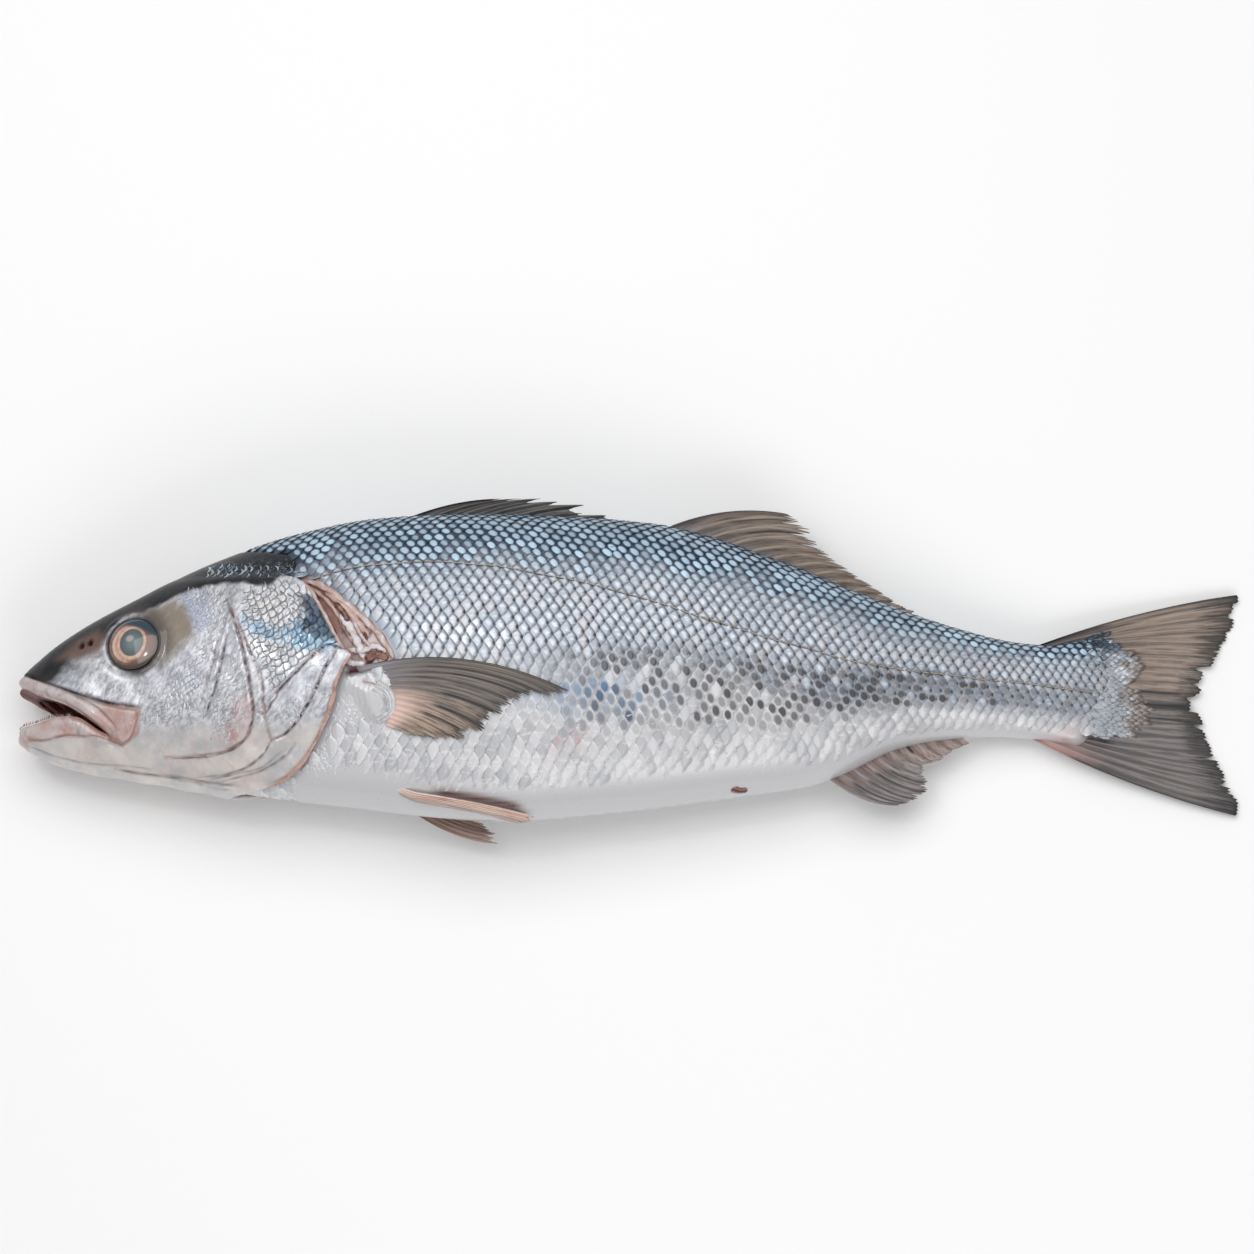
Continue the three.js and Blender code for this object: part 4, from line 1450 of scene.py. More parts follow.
pelvic_finish = make_fin_finish(
    "belly_front_web", (0.78, 0.65, 0.60), (0.74, 0.52, 0.43), (0.36, 0.19, 0.14),
    (0.92, 0.84, 0.80), 6, low=(0.60, 0.51, 0.475), margin=1.15, streak=0.35, smooth_root=0.8)
# The far belly fin is painted darker than the near one: painted shade under the belly.
shaded_far_pelvic_finish = make_fin_finish(
    "shaded_far_belly_web", (0.42, 0.27, 0.22), (0.34, 0.23, 0.19), (0.16, 0.10, 0.085),
    (0.45, 0.33, 0.28), 6, margin=1.1, streak=0.4)
print("fin finishes ready")

# %% [markdown]
# ## The tail, the back fins and the belly fins
#
# Each fin is measured twice: along its root, hidden in the body, and along its torn edge. The
# tail stands in the middle plane. The fins of the back have folded down, so their rays sweep
# backward. The breast fin lies flat on the flank, and its twin is pressed under the body.

# %% Build the fins
TAIL_EDGE = [
    (227.2, 31.4), (227.9, 27), (226.4, 21), (223.6, 14), (219.4, 6.5), (215.5, 0.5), (213.6, -5),
    (209.6, -11), (210.8, -15), (214.6, -21.5), (217.8, -28), (221.6, -35.5), (225.0, -43.5),
    (226.8, -48.5), (225.4, -52.4)]
BREAST_EDGE = [
    (-21.2, -14.4), (-26.5, -14.6), (-37.5, -16.9), (-43, -19.8), (-49.5, -23.2), (-55.5, -28.6),
    (-67, -30.9), (-80, -29.2)]
build_fin(
    "tail", [(150, 10.5), (163, 10), (168, -7), (163, -23), (148, -23.8)], TAIL_EDGE, 17,
    middle_sheet(ripple=0.7), tail_finish, bow=(2.4, -2.5), thick=0.9, web=0.30, fray=0.022,
    uneven=0.014, fine=14, rows=56, pleats=0.16, tip=0.25, seed=3,
    tears=[(0.335, 0.15, 0.006), (0.41, 0.05, 0.008), (0.475, 0.05, 0.010), (0.60, 0.06, 0.007),
           (0.745, 0.16, 0.005), (0.87, 0.08, 0.005), (0.25, 0.04, 0.005)],
    streaks=[(0.515, 0.022, 0.22, 0.95), (0.455, 0.010, 0.15, 0.8), (0.0, 0.012, 0.1, 1.0),
             (0.0, 0.05, -0.2, 0.30),
             (1.0, 0.012, 0.15, 1.0), (0.575, 0.006, 0.3, 0.9)])
build_fin(
    "soft_back_fin", [(10, 51.5), (35, 44.5), (65, 33), (99, 18)],
    [(62, 58.0), (68.6, 53.5), (69.2, 49.5), (72.6, 44.6), (81.5, 38.2), (92, 30.8),
     (99, 26.2), (105.5, 23.0)], 13, middle_sheet(lean=-0.6, ripple=0.5), soft_finish,
    bow=(4.5, 0.8), thick=0.85, web=0.22, fray=0.13, uneven=0.035, rows=44,
    pleats=0.22, tip=0.30, seed=5, splits=(0.45, 0.75),
    streaks=[(0.0, 0.02, 0.0, 1.0), (0.10, 0.008, 0.3, 0.9), (0.2, 0.008, 0.3, 0.9)])
build_fin(
    "spiny_back_fin", [(-90, 53.0), (-70, 54.2), (-50, 54.2), (-33, 53.6), (-22, 52.8)],
    [(-48, 63.3), (-36, 63.6), (-26, 62.4), (-15.2, 60.2), (-17.5, 58.2), (-8.8, 57.2),
     (-2.2, 54.6)], 8, middle_sheet(lean=-0.4, ripple=0.4), spiny_finish, bow=(2.6, 0.6),
    thick=1.25, web=0.22, fray=0.12, uneven=0.03, fine=14, rows=46, pleats=0.30, tip=0.22,
    seed=7, splits=(1.4, 1.6), streaks=[(0.0, 0.03, 0.0, 1.0), (0.375, 0.012, 0.2, 1.0),
                                        (0.625, 0.012, 0.2, 1.0), (0.25, 0.008, 0.1, 1.0)])
build_fin(
    "anal_fin", [(69, -37.5), (85, -32.5), (103, -25), (120, -21.5)],
    [(99, -50.2), (106.5, -48.0), (109.9, -43.6), (108.6, -38.0), (108.4, -35.2),
     (114.0, -33.4), (118.4, -30.2), (125.4, -26.6)], 11,
    middle_sheet(lean=0.5, ripple=0.5), anal_finish, bow=(-3.8, -0.6), thick=0.85, web=0.22,
    fray=0.08, uneven=0.02, fine=12, rows=40, pleats=0.22, tip=0.35, seed=9,
    streaks=[(0.10, 0.012, 0.2, 0.95), (0.20, 0.010, 0.25, 0.95), (0.29, 0.012, 0.2, 0.98),
             (0.38, 0.010, 0.3, 0.9), (0.62, 0.015, 0.0, 0.3)])
build_fin(
    "left_breast_fin", [(-100.5, -4.8), (-94.5, -14.0), (-91.5, -24.8)],
    BREAST_EDGE, 15, flank_sheet(0.6, 1.15, top=0.35),
    pectoral_finish, bow=(7.4, 0.0), thick=0.42, web=0.30, fray=0.06, uneven=0.025, fine=12,
    rows=48, pleats=0.05, tip=0.25, seed=11,
    streaks=[(0.0, 0.016, 0.02, 1.0), (0.16, 0.010, 0.3, 0.9), (0.24, 0.012, 0.45, 0.95),
             (0.33, 0.010, 0.5, 0.95), (0.45, 0.012, 0.5, 0.95), (0.56, 0.014, 0.5, 0.95),
             (0.66, 0.012, 0.45, 0.9)])
build_fin(
    "right_breast_fin", [(-102.5, -5.2), (-98.8, -13.5), (-94, -24.5)],
    BREAST_EDGE, 15, flank_sheet(0, 0, -1),
    pectoral_finish, bow=(7.4, 0.0), thick=0.5, web=0.14, fray=0.06, uneven=0.025, fine=8,
    rows=30, pleats=0.0, tip=0.25, seed=12)
build_fin(
    "left_belly_fin", [(-90, -46.9), (-90.4, -48.0), (-88.6, -49.3)],
    [(-35.8, -56.1), (-37.6, -56.8), (-41.8, -57.5)], 8, flank_sheet(0.9, 1.1),
    pelvic_finish, bow=(0.8, 0.0), thick=0.6, web=0.55, fray=0.02, uneven=0.008, fine=10,
    rows=40, pleats=0.30, tip=0.30, seed=13, streaks=[(0.62, 0.05, 0.35, 1.0)])


def under_belly_sheet(x, y, c, v):
    """The far belly fin hangs from the far side of the belly."""
    z = 15.5 - 3.0 * v + 1.2 * np.sin(c * 6) * v
    normal = np.zeros(np.shape(x) + (3,))
    normal[..., 1], normal[..., 2] = -0.35, 0.94
    return np.stack([x, y, z], -1), normal


build_fin(
    "right_belly_fin", [(-88, -47), (-80, -48.5), (-70, -50)],
    [(-47.6, -64.0), (-49.6, -60.6), (-55, -56.5)], 6, under_belly_sheet,
    shaded_far_pelvic_finish, bow=(-4.4, -1.0), thick=0.9, web=0.25, fray=0.09, uneven=0.03, fine=12,
    rows=36, pleats=0.2, tip=0.30, seed=15)

# %% [markdown]
# ## Ribbons laid on the skin
#
# The soft hem of the gill cover, the strands of raw tissue behind it and the tubes of the lateral
# line are the same kind of thing: a flattened cord that follows a drawn line over the skin. One
# sweep makes them, with a width and a height that change along the way.

# %% Sweeping a ribbon over the surface


def side_surface(relief, side=1, rest=0.45):
    """Points and normals of the skin at places of the side view."""
    def surface(x, y):
        angle = angle_at(x, y)
        normals = skin_normal(x, angle)
        points = skin_raw(x, angle) + normals * relief(x, y)[..., None]
        return on_side(side, x, points, normals, rest)
    return surface


def trunk_height(x, y):
    return trunk_relief(x, y)[0]


def sweep(line, surface, width, rise, lift=0.0, sides=10, drift=0.0):
    """A closed flattened cord along a line, as points, faces and its share of the way."""
    line = np.asarray(line, float)
    points, normals = surface(line[:, 0], line[:, 1])
    along = np.gradient(points, axis=0)
    along /= np.maximum(np.linalg.norm(along, axis=1, keepdims=True), 1e-9)
    across = np.cross(normals, along)
    count = len(line)
    share = np.linspace(0, 1, count)
    slim = np.sqrt(np.clip(4 * share * (1 - share), 0, 1) * 2.2).clip(0.12, 1)
    width = np.broadcast_to(width, count) * slim
    rise = np.broadcast_to(rise, count) * slim
    turn = np.linspace(0, 2 * np.pi, sides, endpoint=False)
    wobble = 1 + drift * np.sin(share[:, None] * 41 + turn * 2)
    ring = (points[:, None] + across[:, None] * (width[:, None] * np.cos(turn) * wobble)[..., None]
            + normals[:, None] * (lift + rise[:, None] * np.sin(turn) * wobble)[..., None])
    flat = np.concatenate([ring.reshape(-1, 3), points[:1] + normals[:1] * lift,
                           points[-1:] + normals[-1:] * lift])
    flat[:, 2] = np.maximum(flat[:, 2], 0.03)
    way = np.append(np.repeat(share, sides), [0, 1])
    edge = np.append(np.tile(np.abs(np.cos(turn)), count), [0, 0])
    return flat, tube_faces(count, sides), way, edge


def make_cords(name, cords, finish, paint=None):
    """Join many swept cords into one piece."""
    points, faces, way, edge, which = [], [], [], [], []
    start = 0
    for number, (flat, cells, share, side) in enumerate(cords):
        points.append(flat)
        faces += [tuple(start + i for i in cell) for cell in cells]
        way.append(share)
        edge.append(side)
        which.append(np.full(len(flat), 0.0 if paint is None else paint[number]))
        start += len(flat)
    make_piece(name, np.concatenate(points), faces, finish,
               {"way": np.concatenate(way), "edge": np.concatenate(edge),
                "kind": np.concatenate(which)})


print("ribbons ready")

# %% [markdown]
# ## The gill cover's hem and the raw tissue behind it
#
# The gill cover ends in a soft tan hem. Behind it, where the cover has pulled away, are strands
# of pink and white tissue, darker along their sides. Each strand gets a kind between 0 and 1,
# which runs from white through tan to dark red in one shared finish.

# %% Hem and tissue


def make_tissue_finish():
    tissue = Finish("raw_tissue")
    kind, edge = tissue.paints("kind", "edge")
    mottle = tissue.noise(330, 5, 0.7, warp=0.8)
    fibre = tissue.noise(900, 3, 0.6)
    value = kind + (mottle - 0.5) * 1.1
    colour = value.between(0.0, 0.45).tint((0.66, 0.62, 0.63), (0.45, 0.30, 0.255))
    colour = value.between(0.45, 0.75).tint(colour, (0.26, 0.125, 0.09))
    colour = value.between(0.80, 1.05).tint(colour, (0.085, 0.016, 0.013))
    colour = (edge.between(0.72, 1.0) * 0.75).tint(colour, (0.12, 0.045, 0.030))
    colour = (fibre.between(0.62, 0.74) * 0.35).tint(colour, (0.80, 0.77, 0.76))
    return tissue.shade(
        Base_Color=colour, Roughness=0.24 + mottle * 0.22, Coat_Weight=0.6,
        Coat_Roughness=0.10, IOR=1.40, Normal=tissue.relief(mottle + fibre * 0.5, 0.0003, 0.6))


tissue_finish = make_tissue_finish()


def hem_line(low, high, shift, count=90):
    y = np.linspace(low, high, count)
    return np.stack([cover_edge_x(y) + shift, y], -1)


def build_hem(name, side):
    lower = hem_line(-46.4, 0.5, -0.2)
    upper = hem_line(0.0, 27.0, -0.5, 60)
    head_side = side_surface(head_relief, side)
    broad = 0.85 + 0.25 * np.sin(np.linspace(0, 13, len(lower)))
    cords = [sweep(lower, head_side, broad, 0.40, -0.15, drift=0.16),
             sweep(upper, head_side, 0.70, 0.42, -0.15, drift=0.16)]
    make_cords(name, cords, tissue_finish, [0.50, 0.36])


build_hem("gill_cover_hem_left", 1)
build_hem("gill_cover_hem_right", -1)

STRANDS = [
    ([(-122, 29.6), (-114.6, 26.6), (-106.8, 21.0), (-98.0, 13.2), (-91.0, 5.6), (-86.4, -2.0)],
     1.25, 0.75, 0.30),
    ([(-119, 27.0), (-112.6, 21.6), (-108.6, 16.8), (-104.4, 9.2), (-100.6, 2.6)],
     0.85, 0.60, 0.46),
    ([(-112.4, 24.0), (-106.0, 19.0), (-100.6, 12.4), (-95.6, 6.2)], 1.5, 0.7, 0.42),
    ([(-106.4, 15.0), (-102.6, 9.8), (-99.4, 3.2), (-97.8, -1.4)], 1.7, 0.8, 0.02),
    ([(-108.6, 19.4), (-105.2, 15.4), (-103.2, 11.6)], 1.1, 0.6, 0.95),
    ([(-99.6, 12.2), (-97.6, 8.6), (-96.4, 5.0)], 0.55, 0.55, 0.98),
    ([(-103.6, 2.2), (-98.2, 1.4), (-93.6, 2.8), (-89.4, 0.4)], 1.2, 0.8, 0.10),
    ([(-97.2, -2.0), (-93.0, -0.2), (-88.6, -1.8)], 1.5, 0.7, 0.92),
    ([(-101.6, 12.6), (-98.6, 6.8), (-94.2, 1.6)], 0.7, 0.9, 0.20),
    ([(-105.6, -1.2), (-101.4, -3.2), (-97.0, -3.6)], 1.2, 0.7, 0.04)]
trunk_side = side_surface(lambda x, y: np.maximum(trunk_height(x, y), -2.4))
strand_cords = [sweep(rounded(line, 9), trunk_side, wide, tall, 0.35, 10, 0.22)
                for line, wide, tall, _ in STRANDS]
make_cords("tissue_strands", strand_cords, tissue_finish,
           [kind for *_, kind in STRANDS])

# %% [markdown]
# ## The lateral line
#
# A row of pored scales runs from the gill to the tail. Each carries a short tube, so the line
# reads as a chain of thin dark dashes, with a painted highlight along each crest.

# %% Tubes of the lateral line


def make_line_finish():
    tube = Finish("lateral_tube")
    edge = tube.paint("edge")
    mottle = tube.noise(500, 3, 0.6)
    # Painted highlight: each tube is pale along its crest and dark at its sides.
    colour = edge.between(0.25, 0.85).tint((0.40, 0.34, 0.27), (0.075, 0.062, 0.058))
    colour = (mottle.between(0.5, 0.7) * 0.5).tint(colour, (0.12, 0.10, 0.09))
    return tube.shade(Base_Color=colour, Roughness=0.30 + mottle * 0.2, Coat_Weight=0.5,
                      Coat_Roughness=0.12, IOR=1.42, Normal=tube.relief(mottle, 0.0001, 0.5))


line_finish = make_line_finish()


def build_lateral_line(name, side):
    surface = flank_surface(side)
    cords = []
    x = -117.0
    while x < 170:
        length = (3.5 - 1.1 * float(soft(x, 60, 175))) * rng.uniform(0.9, 1.08)
        xs = np.linspace(x, x + length, 6)
        ws = 0.25 + 0.16 * np.sin(x * 0.23) + np.linspace(0.10, -0.14, 6)
        cords.append(sweep(np.stack([xs, ws], -1), surface, 0.36, 0.30, 0.20, 8))
        x += length * 1.06
    make_cords(name, cords, line_finish)


build_lateral_line("lateral_line_left", 1)
build_lateral_line("lateral_line_right", -1)

# %% [markdown]
# ## Small scales: cheek, gill cover, nape, shoulder and tail root
#
# The head carries small round scales too, cream on the gill cover and glittering on the cheek and
# nape, where the glitter is painted glints on pale rims and streaks. The same plates are laid in
# patches of the side view. White ones hide the join at the shoulder.

# %% The finish and the patches


def make_small_scale_finish():
    small = Finish("small_scale")
    along, across, tone, cream = small.paints("along", "across", "tone", "cream")
    ink, blue, edge, drab, pale_rim_and_glint = small.paints("ink", "blue", "rim", "drab", "pale_rim_and_glint")
    grain = small.threads(across * 5.0 + tone * 40, along * 1.3 + tone * 17, 1.0, 3.0, 0.6)
    patches = small.noise(120, 3, 0.6)
    centre = 1 - (((along - 0.18) * 2.0) ** 2 + (across * 1.5) ** 2).between(0.25, 0.95)
    line = 1 - edge.between(0.02, 0.22)
    colour = tone.tint((0.36, 0.37, 0.41), (0.64, 0.65, 0.68))
    colour = (patches.between(0.45, 0.62) * 0.5).tint(colour, (0.30, 0.33, 0.40))
    # Painted glints: pale streaks along each scale.
    colour = (grain.between(0.50, 0.64) * 0.6).tint(colour, (0.76, 0.78, 0.82))
    whitish = grain.tint((0.60, 0.57, 0.54), (0.76, 0.73, 0.70))
    colour = (cream * centre).tint(colour, whitish)
    colour = (cream * (1 - centre) * 0.80).tint(colour, (0.115, 0.125, 0.145))
    sky = patches.between(0.35, 0.65).tint((0.045, 0.19, 0.34), (0.13, 0.36, 0.52))
    colour = (blue * (0.95 - centre * 0.35)).tint(colour, sky)
    colour = (ink * (1 - centre * 0.12)).tint(colour, (0.005, 0.018, 0.042))
    # Pale rims: white on some scales, painted glints on others, bluish where the scale is dark.
    pale_rim_and_glint_colour = ink.tint((0.84, 0.85, 0.87), (0.22, 0.36, 0.47))
    colour = (line * pale_rim_and_glint).tint(colour, pale_rim_and_glint_colour)
    colour = (line * (1 - pale_rim_and_glint) * 0.5).tint(colour, (0.07, 0.07, 0.085))
    colour = (drab * 0.9).tint(colour, grain.tint((0.10, 0.083, 0.074), (0.26, 0.20, 0.16)))
    return small.shade(
        Base_Color=colour, Metallic=0.25 * (1 - cream),
        Roughness=0.20 + grain * 0.2 + ink * 0.18, Coat_Weight=0.7 - ink * 0.68,
        Coat_Roughness=0.09, IOR=1.42,
        Normal=small.relief(grain, 0.0001, 0.5))


small_scale = make_small_scale_finish()


def patch_places(outline, step, row, heading=0.0, margin=0.3):
    """Staggered places inside an outline of the side view."""
    pts = np.array(outline, float)
    centre = pts.mean(0)
    reach = np.abs(pts - centre).max() * 1.6
    c, s = math.cos(heading), math.sin(heading)
    rows = np.arange(-reach, reach, row)
    us, vs = [], []
    for k, v in enumerate(rows):
        u = np.arange(-reach, reach, step) + (step / 2 if k % 2 else 0)
        us.append(u)
        vs.append(np.full(len(u), v))
    u, v = np.concatenate(us), np.concatenate(vs)
    u = u + rng.normal(0, 0.12 * step, len(u))
    v = v + rng.normal(0, 0.12 * row, len(v))
    x, y = centre[0] + u * c - v * s, centre[1] + u * s + v * c
    keep = inside_distance(outline, x, y) > margin
    return x[keep], y[keep]


COVER_PATCH = [
    (-144, 23), (-140, 26.5), (-128, 27.2), (-120, 24), (-114.5, 18.5), (-110.8, 12), (-106, 4),
    (-112, 3.8), (-118, -0.4), (-123.5, -5.8), (-129, -12.2), (-133.2, -19.4), (-134, -10),
    (-139, 1.5), (-143.2, 12)]
CHEEK_PATCH = [
    (-166, 27), (-152, 27.5), (-147.5, 25), (-147, 16), (-151, 4), (-153, -5), (-156.5, -18),
    (-166, -25), (-177, -21), (-180, -13), (-170, -7), (-162, 2), (-157, 10), (-162, 19)]
CHEEK_STRIP = [
    (-146.4, 12), (-143.6, 3), (-140.6, -10), (-140, -20), (-147, -31), (-155, -29), (-155, -20),
    (-151.4, -9), (-148.6, 3)]
LOWER_COVER = [
    (-130.6, -27), (-126, -20.5), (-118.5, -9), (-112, -1), (-107, 1), (-110.4, -5), (-116.4, -16),
    (-122.8, -25.4)]
NAPE_PATCHES = [
    [(-160, 38.5), (-139.5, 35.8), (-138.5, 29.2), (-158, 30.8)], [(-140, 35.8), (-119, 34.2),
    (-118, 28.8), (-139, 29.2)]]
SHOULDER = [
    (-104.5, -8), (-98, -7), (-95.5, -26), (-95, -33), (-101, -40.6), (-112, -44), (-122, -43.5),
    (-118, -36), (-113, -27), (-109, -18), (-106.4, -10)]


def build_patch(name, outline, step, row, heading, side, relief, looks, lift):
    x, y = patch_places(outline, step, row, heading)
    count = len(x)
    edge = soft(inside_distance(outline, x, y), 0, 4 * row)
    paint = {"tone": rng.uniform(0, 1, count) ** 1.3}
    paint.update({key: value(x, y, edge) for key, value in looks.items()})
    for key in ("cream", "ink", "blue", "pale_rim_and_glint"):
        paint.setdefault(key, 0)
    lay_plates(
        name, x, y, side_surface(relief, side, 0.5), step, row, lift * (0.35 + 0.65 * edge),
        -0.45, 0.16, small_scale, (4, 7) if side > 0 else (3, 5), paint,
        heading + 0.25 * np.sin(x * 0.21 + y * 0.13) + rng.normal(0, 0.12, count))


def glitter(low, power=1):
    """Pale rims with painted glints, of every strength from low to 1."""
    return lambda x, y, edge: rng.uniform(low, 1, len(x)) ** power


def cover_blue(x, y, edge):
    return np.clip(zone(COVER_BLUE, x, y, 2.5) * rng.uniform(0.35, 1.5, len(x)), 0, 1)


def cover_ink(x, y, edge):
    return np.clip(zone(COVER_INK, x, y, 2.0) * rng.uniform(0.6, 1.5, len(x)), 0, 1)


def cover_cream(x, y, edge):
    near = soft(y, -14, 6) * (1 - 0.85 * zone(COVER_BLUE, x, y, 2.5))
    return near * rng.uniform(0.3, 1, len(x))


for side, tag in ((1, "left"), (-1, "right")):
    build_patch(f"cover_scales_{tag}", COVER_PATCH, 3.3, 2.3, -0.32, side, head_relief,
                {"cream": cover_cream, "blue": cover_blue, "ink": cover_ink}, 0.45)
    build_patch(f"cheek_scales_{tag}", CHEEK_PATCH, 2.2, 1.5, -0.35, side, head_relief,
                {"pale_rim_and_glint": glitter(0, 1.5)}, 0.20)
    build_patch(f"cheek_strip_scales_{tag}", CHEEK_STRIP, 2.0, 1.35, -0.5, side, head_relief,
                {"pale_rim_and_glint": glitter(0, 1.5)}, 0.16)
    build_patch(f"lower_cover_scales_{tag}", LOWER_COVER, 2.2, 1.5, 0.5, side, head_relief,
                {"pale_rim_and_glint": glitter(0.2)}, 0.22)
    for number, outline in enumerate(NAPE_PATCHES, 1):
        build_patch(f"nape_scales_{number}_{tag}", outline, 2.7, 1.7, -0.1, side, head_relief,
                    {"ink": lambda x, y, edge: 0.35 + 0.65 * (rng.uniform(0, 1, len(x)) > 0.45),
                     "blue": lambda x, y, edge: np.full(len(x), 0.35),
                     "pale_rim_and_glint": glitter(0.2)}, 0.24)
    build_patch(f"shoulder_scales_{tag}", SHOULDER, 2.3, 1.6, 0.1, side, trunk_height,
                {"pale_rim_and_glint": lambda x, y, edge: np.full(len(x), 0.9),
                 "cream": lambda x, y, edge: rng.uniform(0, 0.25, len(x))}, 0.16)

# %% [markdown]
# ## Scales over the root of the tail
#
# The body's scales do not stop at the tail. They get small and narrow, and run out over the roots
# of the rays like fingers. The surface to follow is whichever is higher, the end of the body or
# the blade of the tail.

# %% Tail root scales
TAIL_ROOT = [
    (168, 12), (172, 15.4), (177, 16.0), (182, 13.8), (187.5, 10.5), (191, 5.5), (192.5, 1),
    (188, -3), (190, -7), (193.5, -12), (192.5, -17.5), (189, -21.6), (182, -24.0), (176, -25.6),
    (172, -22), (172.5, -14), (173, -6), (171.5, 4)]


def tail_root_surface(side):
    def surface(x, y):
        inside = np.clip((y - widest_level(x)) / np.where(
            y > widest_level(x), back_line(x) - widest_level(x),
            widest_level(x) - belly_line(x)), 0, 1)
        body = half_thickness(x) * np.sqrt(np.clip(1 - inside**2, 0, 1)) * (x < 182)
        blade = np.full(np.shape(x), 0.75)
        z = mid_height(x) + side * (0.5 * (body + blade + np.sqrt((body - blade) ** 2 + 0.3)))
        return np.stack([x, y, settle(z, 0.4, 0.3)], -1), facing_up(x, side)
    return surface


def build_tail_root(name, side):
    x, y = patch_places(TAIL_ROOT, 3.0, 1.0, 0.0, 0.0)
    edge = soft(inside_distance(TAIL_ROOT, x, y) + 2 * soft(-x, -178, -172), 0, 4.5)
    keep = rng.uniform(0, 1, len(x)) < 0.12 + edge
    x, y, edge = x[keep], y[keep], edge[keep]
    count = len(x)
    top = soft(y, 3, 12)
    far = soft(x, 176, 190)
    paint = {"tone": rng.uniform(0.35, 0.70, count), "cream": 0,
             "drab": soft(far * 1.2 - edge * 0.30 + rng.normal(0, 0.25, count), 0.20, 0.80),
             "ink": top * (1 - far * 0.4) * (rng.uniform(0, 1, count) > 0.15),
             "blue": 0.12 + top * 0.3,
             "pale_rim_and_glint": rng.uniform(0, 1, count) ** 1.6 * (1 - top * 0.6)}
    lay_plates(
        name, x, y, tail_root_surface(side), 3.4 + far, 0.98, 0.10 + 0.08 * edge, -0.40, 0.08,
        small_scale, (4, 5) if side > 0 else (3, 5), paint, (y + 7) / 44)


build_tail_root("tail_root_scales_left", 1)
build_tail_root("tail_root_scales_right", -1)

# %% [markdown]
# ## The root of the breast fin
#
# The fin grows out of a white fleshy lobe with a fringe of narrow scales round its rear edge. The
# lobe is a small patch of the flank, lifted toward its middle. The fringe is a fan of plates,
# each one turned outward.

# %% Lobe and fringe
LOBE = [(-102.8, -8.6), (-99, -7.6), (-93.6, -7.8), (-88.2, -11.2), (-84.4, -15.4),
        (-84.2, -20.0), (-88.0, -24.8), (-93.6, -26.4), (-98.2, -23.6), (-102, -17), (-104.6, -11)]
LOBE_FOLD = rounded([(-97.0, -9.6), (-94.4, -10.0), (-92, -11.8), (-90, -15.8), (-89.2, -21)])
LOBE_EDGE = rounded([
    (-92.4, -10.6), (-89.6, -12.1), (-87.0, -15.4), (-86.6, -19.4), (-88.8, -22.6),
    (-91.8, -24.4)], 6)


def lobe_height(x, y):
    inside = inside_distance(LOBE, x, y)
    wrinkle = 0.06 * np.sin(x * 3.1 + 1.5 * np.sin(y * 0.8))
    gap, _ = line_distance(LOBE_FOLD, x, y)
    dome = 2.3 * soft(inside, -0.6, 3.2 + 5 * soft(-x, 91, 99)) ** 0.7
    dome = dome + wrinkle * soft(inside, 0, 2)
    return -0.9 + dome - 0.9 * bell(gap, 0.6)


def build_lobe(name, side):
    rings, count = 26, 72
    share = np.linspace(0, 1, rings) ** 0.8
    ring = curve_through(LOBE + LOBE[:1])(np.linspace(0, 1, count, endpoint=False))
    centre = np.array([-94.6, -16.0])
    flat = centre + (ring - centre) * share[:, None, None]
    x, y = flat[..., 0], flat[..., 1]
    points, _ = side_surface(lobe_height, side)(x, y)
    faces = grid_faces(rings, count, closed=True).tolist()
    gap, _ = line_distance(LOBE_FOLD, x, y)
    # Painted shade, tinted dark red, in the crease of the lobe's fold.
    fold = bell(gap, 0.7) * soft(y, -22, -8)
    tint = 0.5 * bell(gap, 1.6) * soft(y, -20, -9)
    zero = np.zeros(x.shape)
    make_piece(name, points.reshape(-1, 3), faces, trunk_skin,
               {"back": zero + 0.1, "flesh": tint, "fold": fold * 0.5,
                "blood_and_shade": fold * 0.7 * soft(y, -13, -8)}, closed=False)


def build_fringe(name, side):
    share = np.linspace(0, 1, 30)
    path = curve_through(LOBE_EDGE)
    ahead = path(np.minimum(share + 0.02, 1)) - path(np.maximum(share - 0.02, 0))
    heading = np.arctan2(ahead[:, 1], ahead[:, 0]) + np.pi / 2
    outward = np.stack([np.cos(heading), np.sin(heading)], -1)
    rows = [(-0.2, 1.9), (-1.5, 1.8), (-2.8, 1.7)]
    x, y = np.concatenate([path(share) + outward * shift for shift, _ in rows]).T
    size = np.repeat([length for _, length in rows], len(share))
    turn = np.tile(heading, len(rows))
    count = len(x)
    paint = {"tone": rng.uniform(0.3, 1, count), "cream": rng.uniform(0.2, 0.6, count),
             "ink": 0, "blue": 0, "pale_rim_and_glint": 0.8}
    lay_plates(name, x, y, side_surface(lobe_height, side), size, 0.62, 0.34, -0.3, 0.10,
               small_scale, (4, 5), paint, turn)


for side, tag in ((1, "left"), (-1, "right")):
    build_lobe(f"breast_fin_lobe_{tag}", side)
    build_fringe(f"breast_fin_fringe_{tag}", side)

# %% [markdown]
# ## The eye
#
# A dead fish's eye is clouded. The pupil is a grey, egg-shaped window with a thin cream line
# round it, and the iris is coppery and darker toward its rim. The eye is a low dome set in its
# socket, and two painted coordinates draw its rings. A soft painted highlight lies on the pupil,
# and a pale painted highlight on the left of the iris.

# %% Eye finish and domes


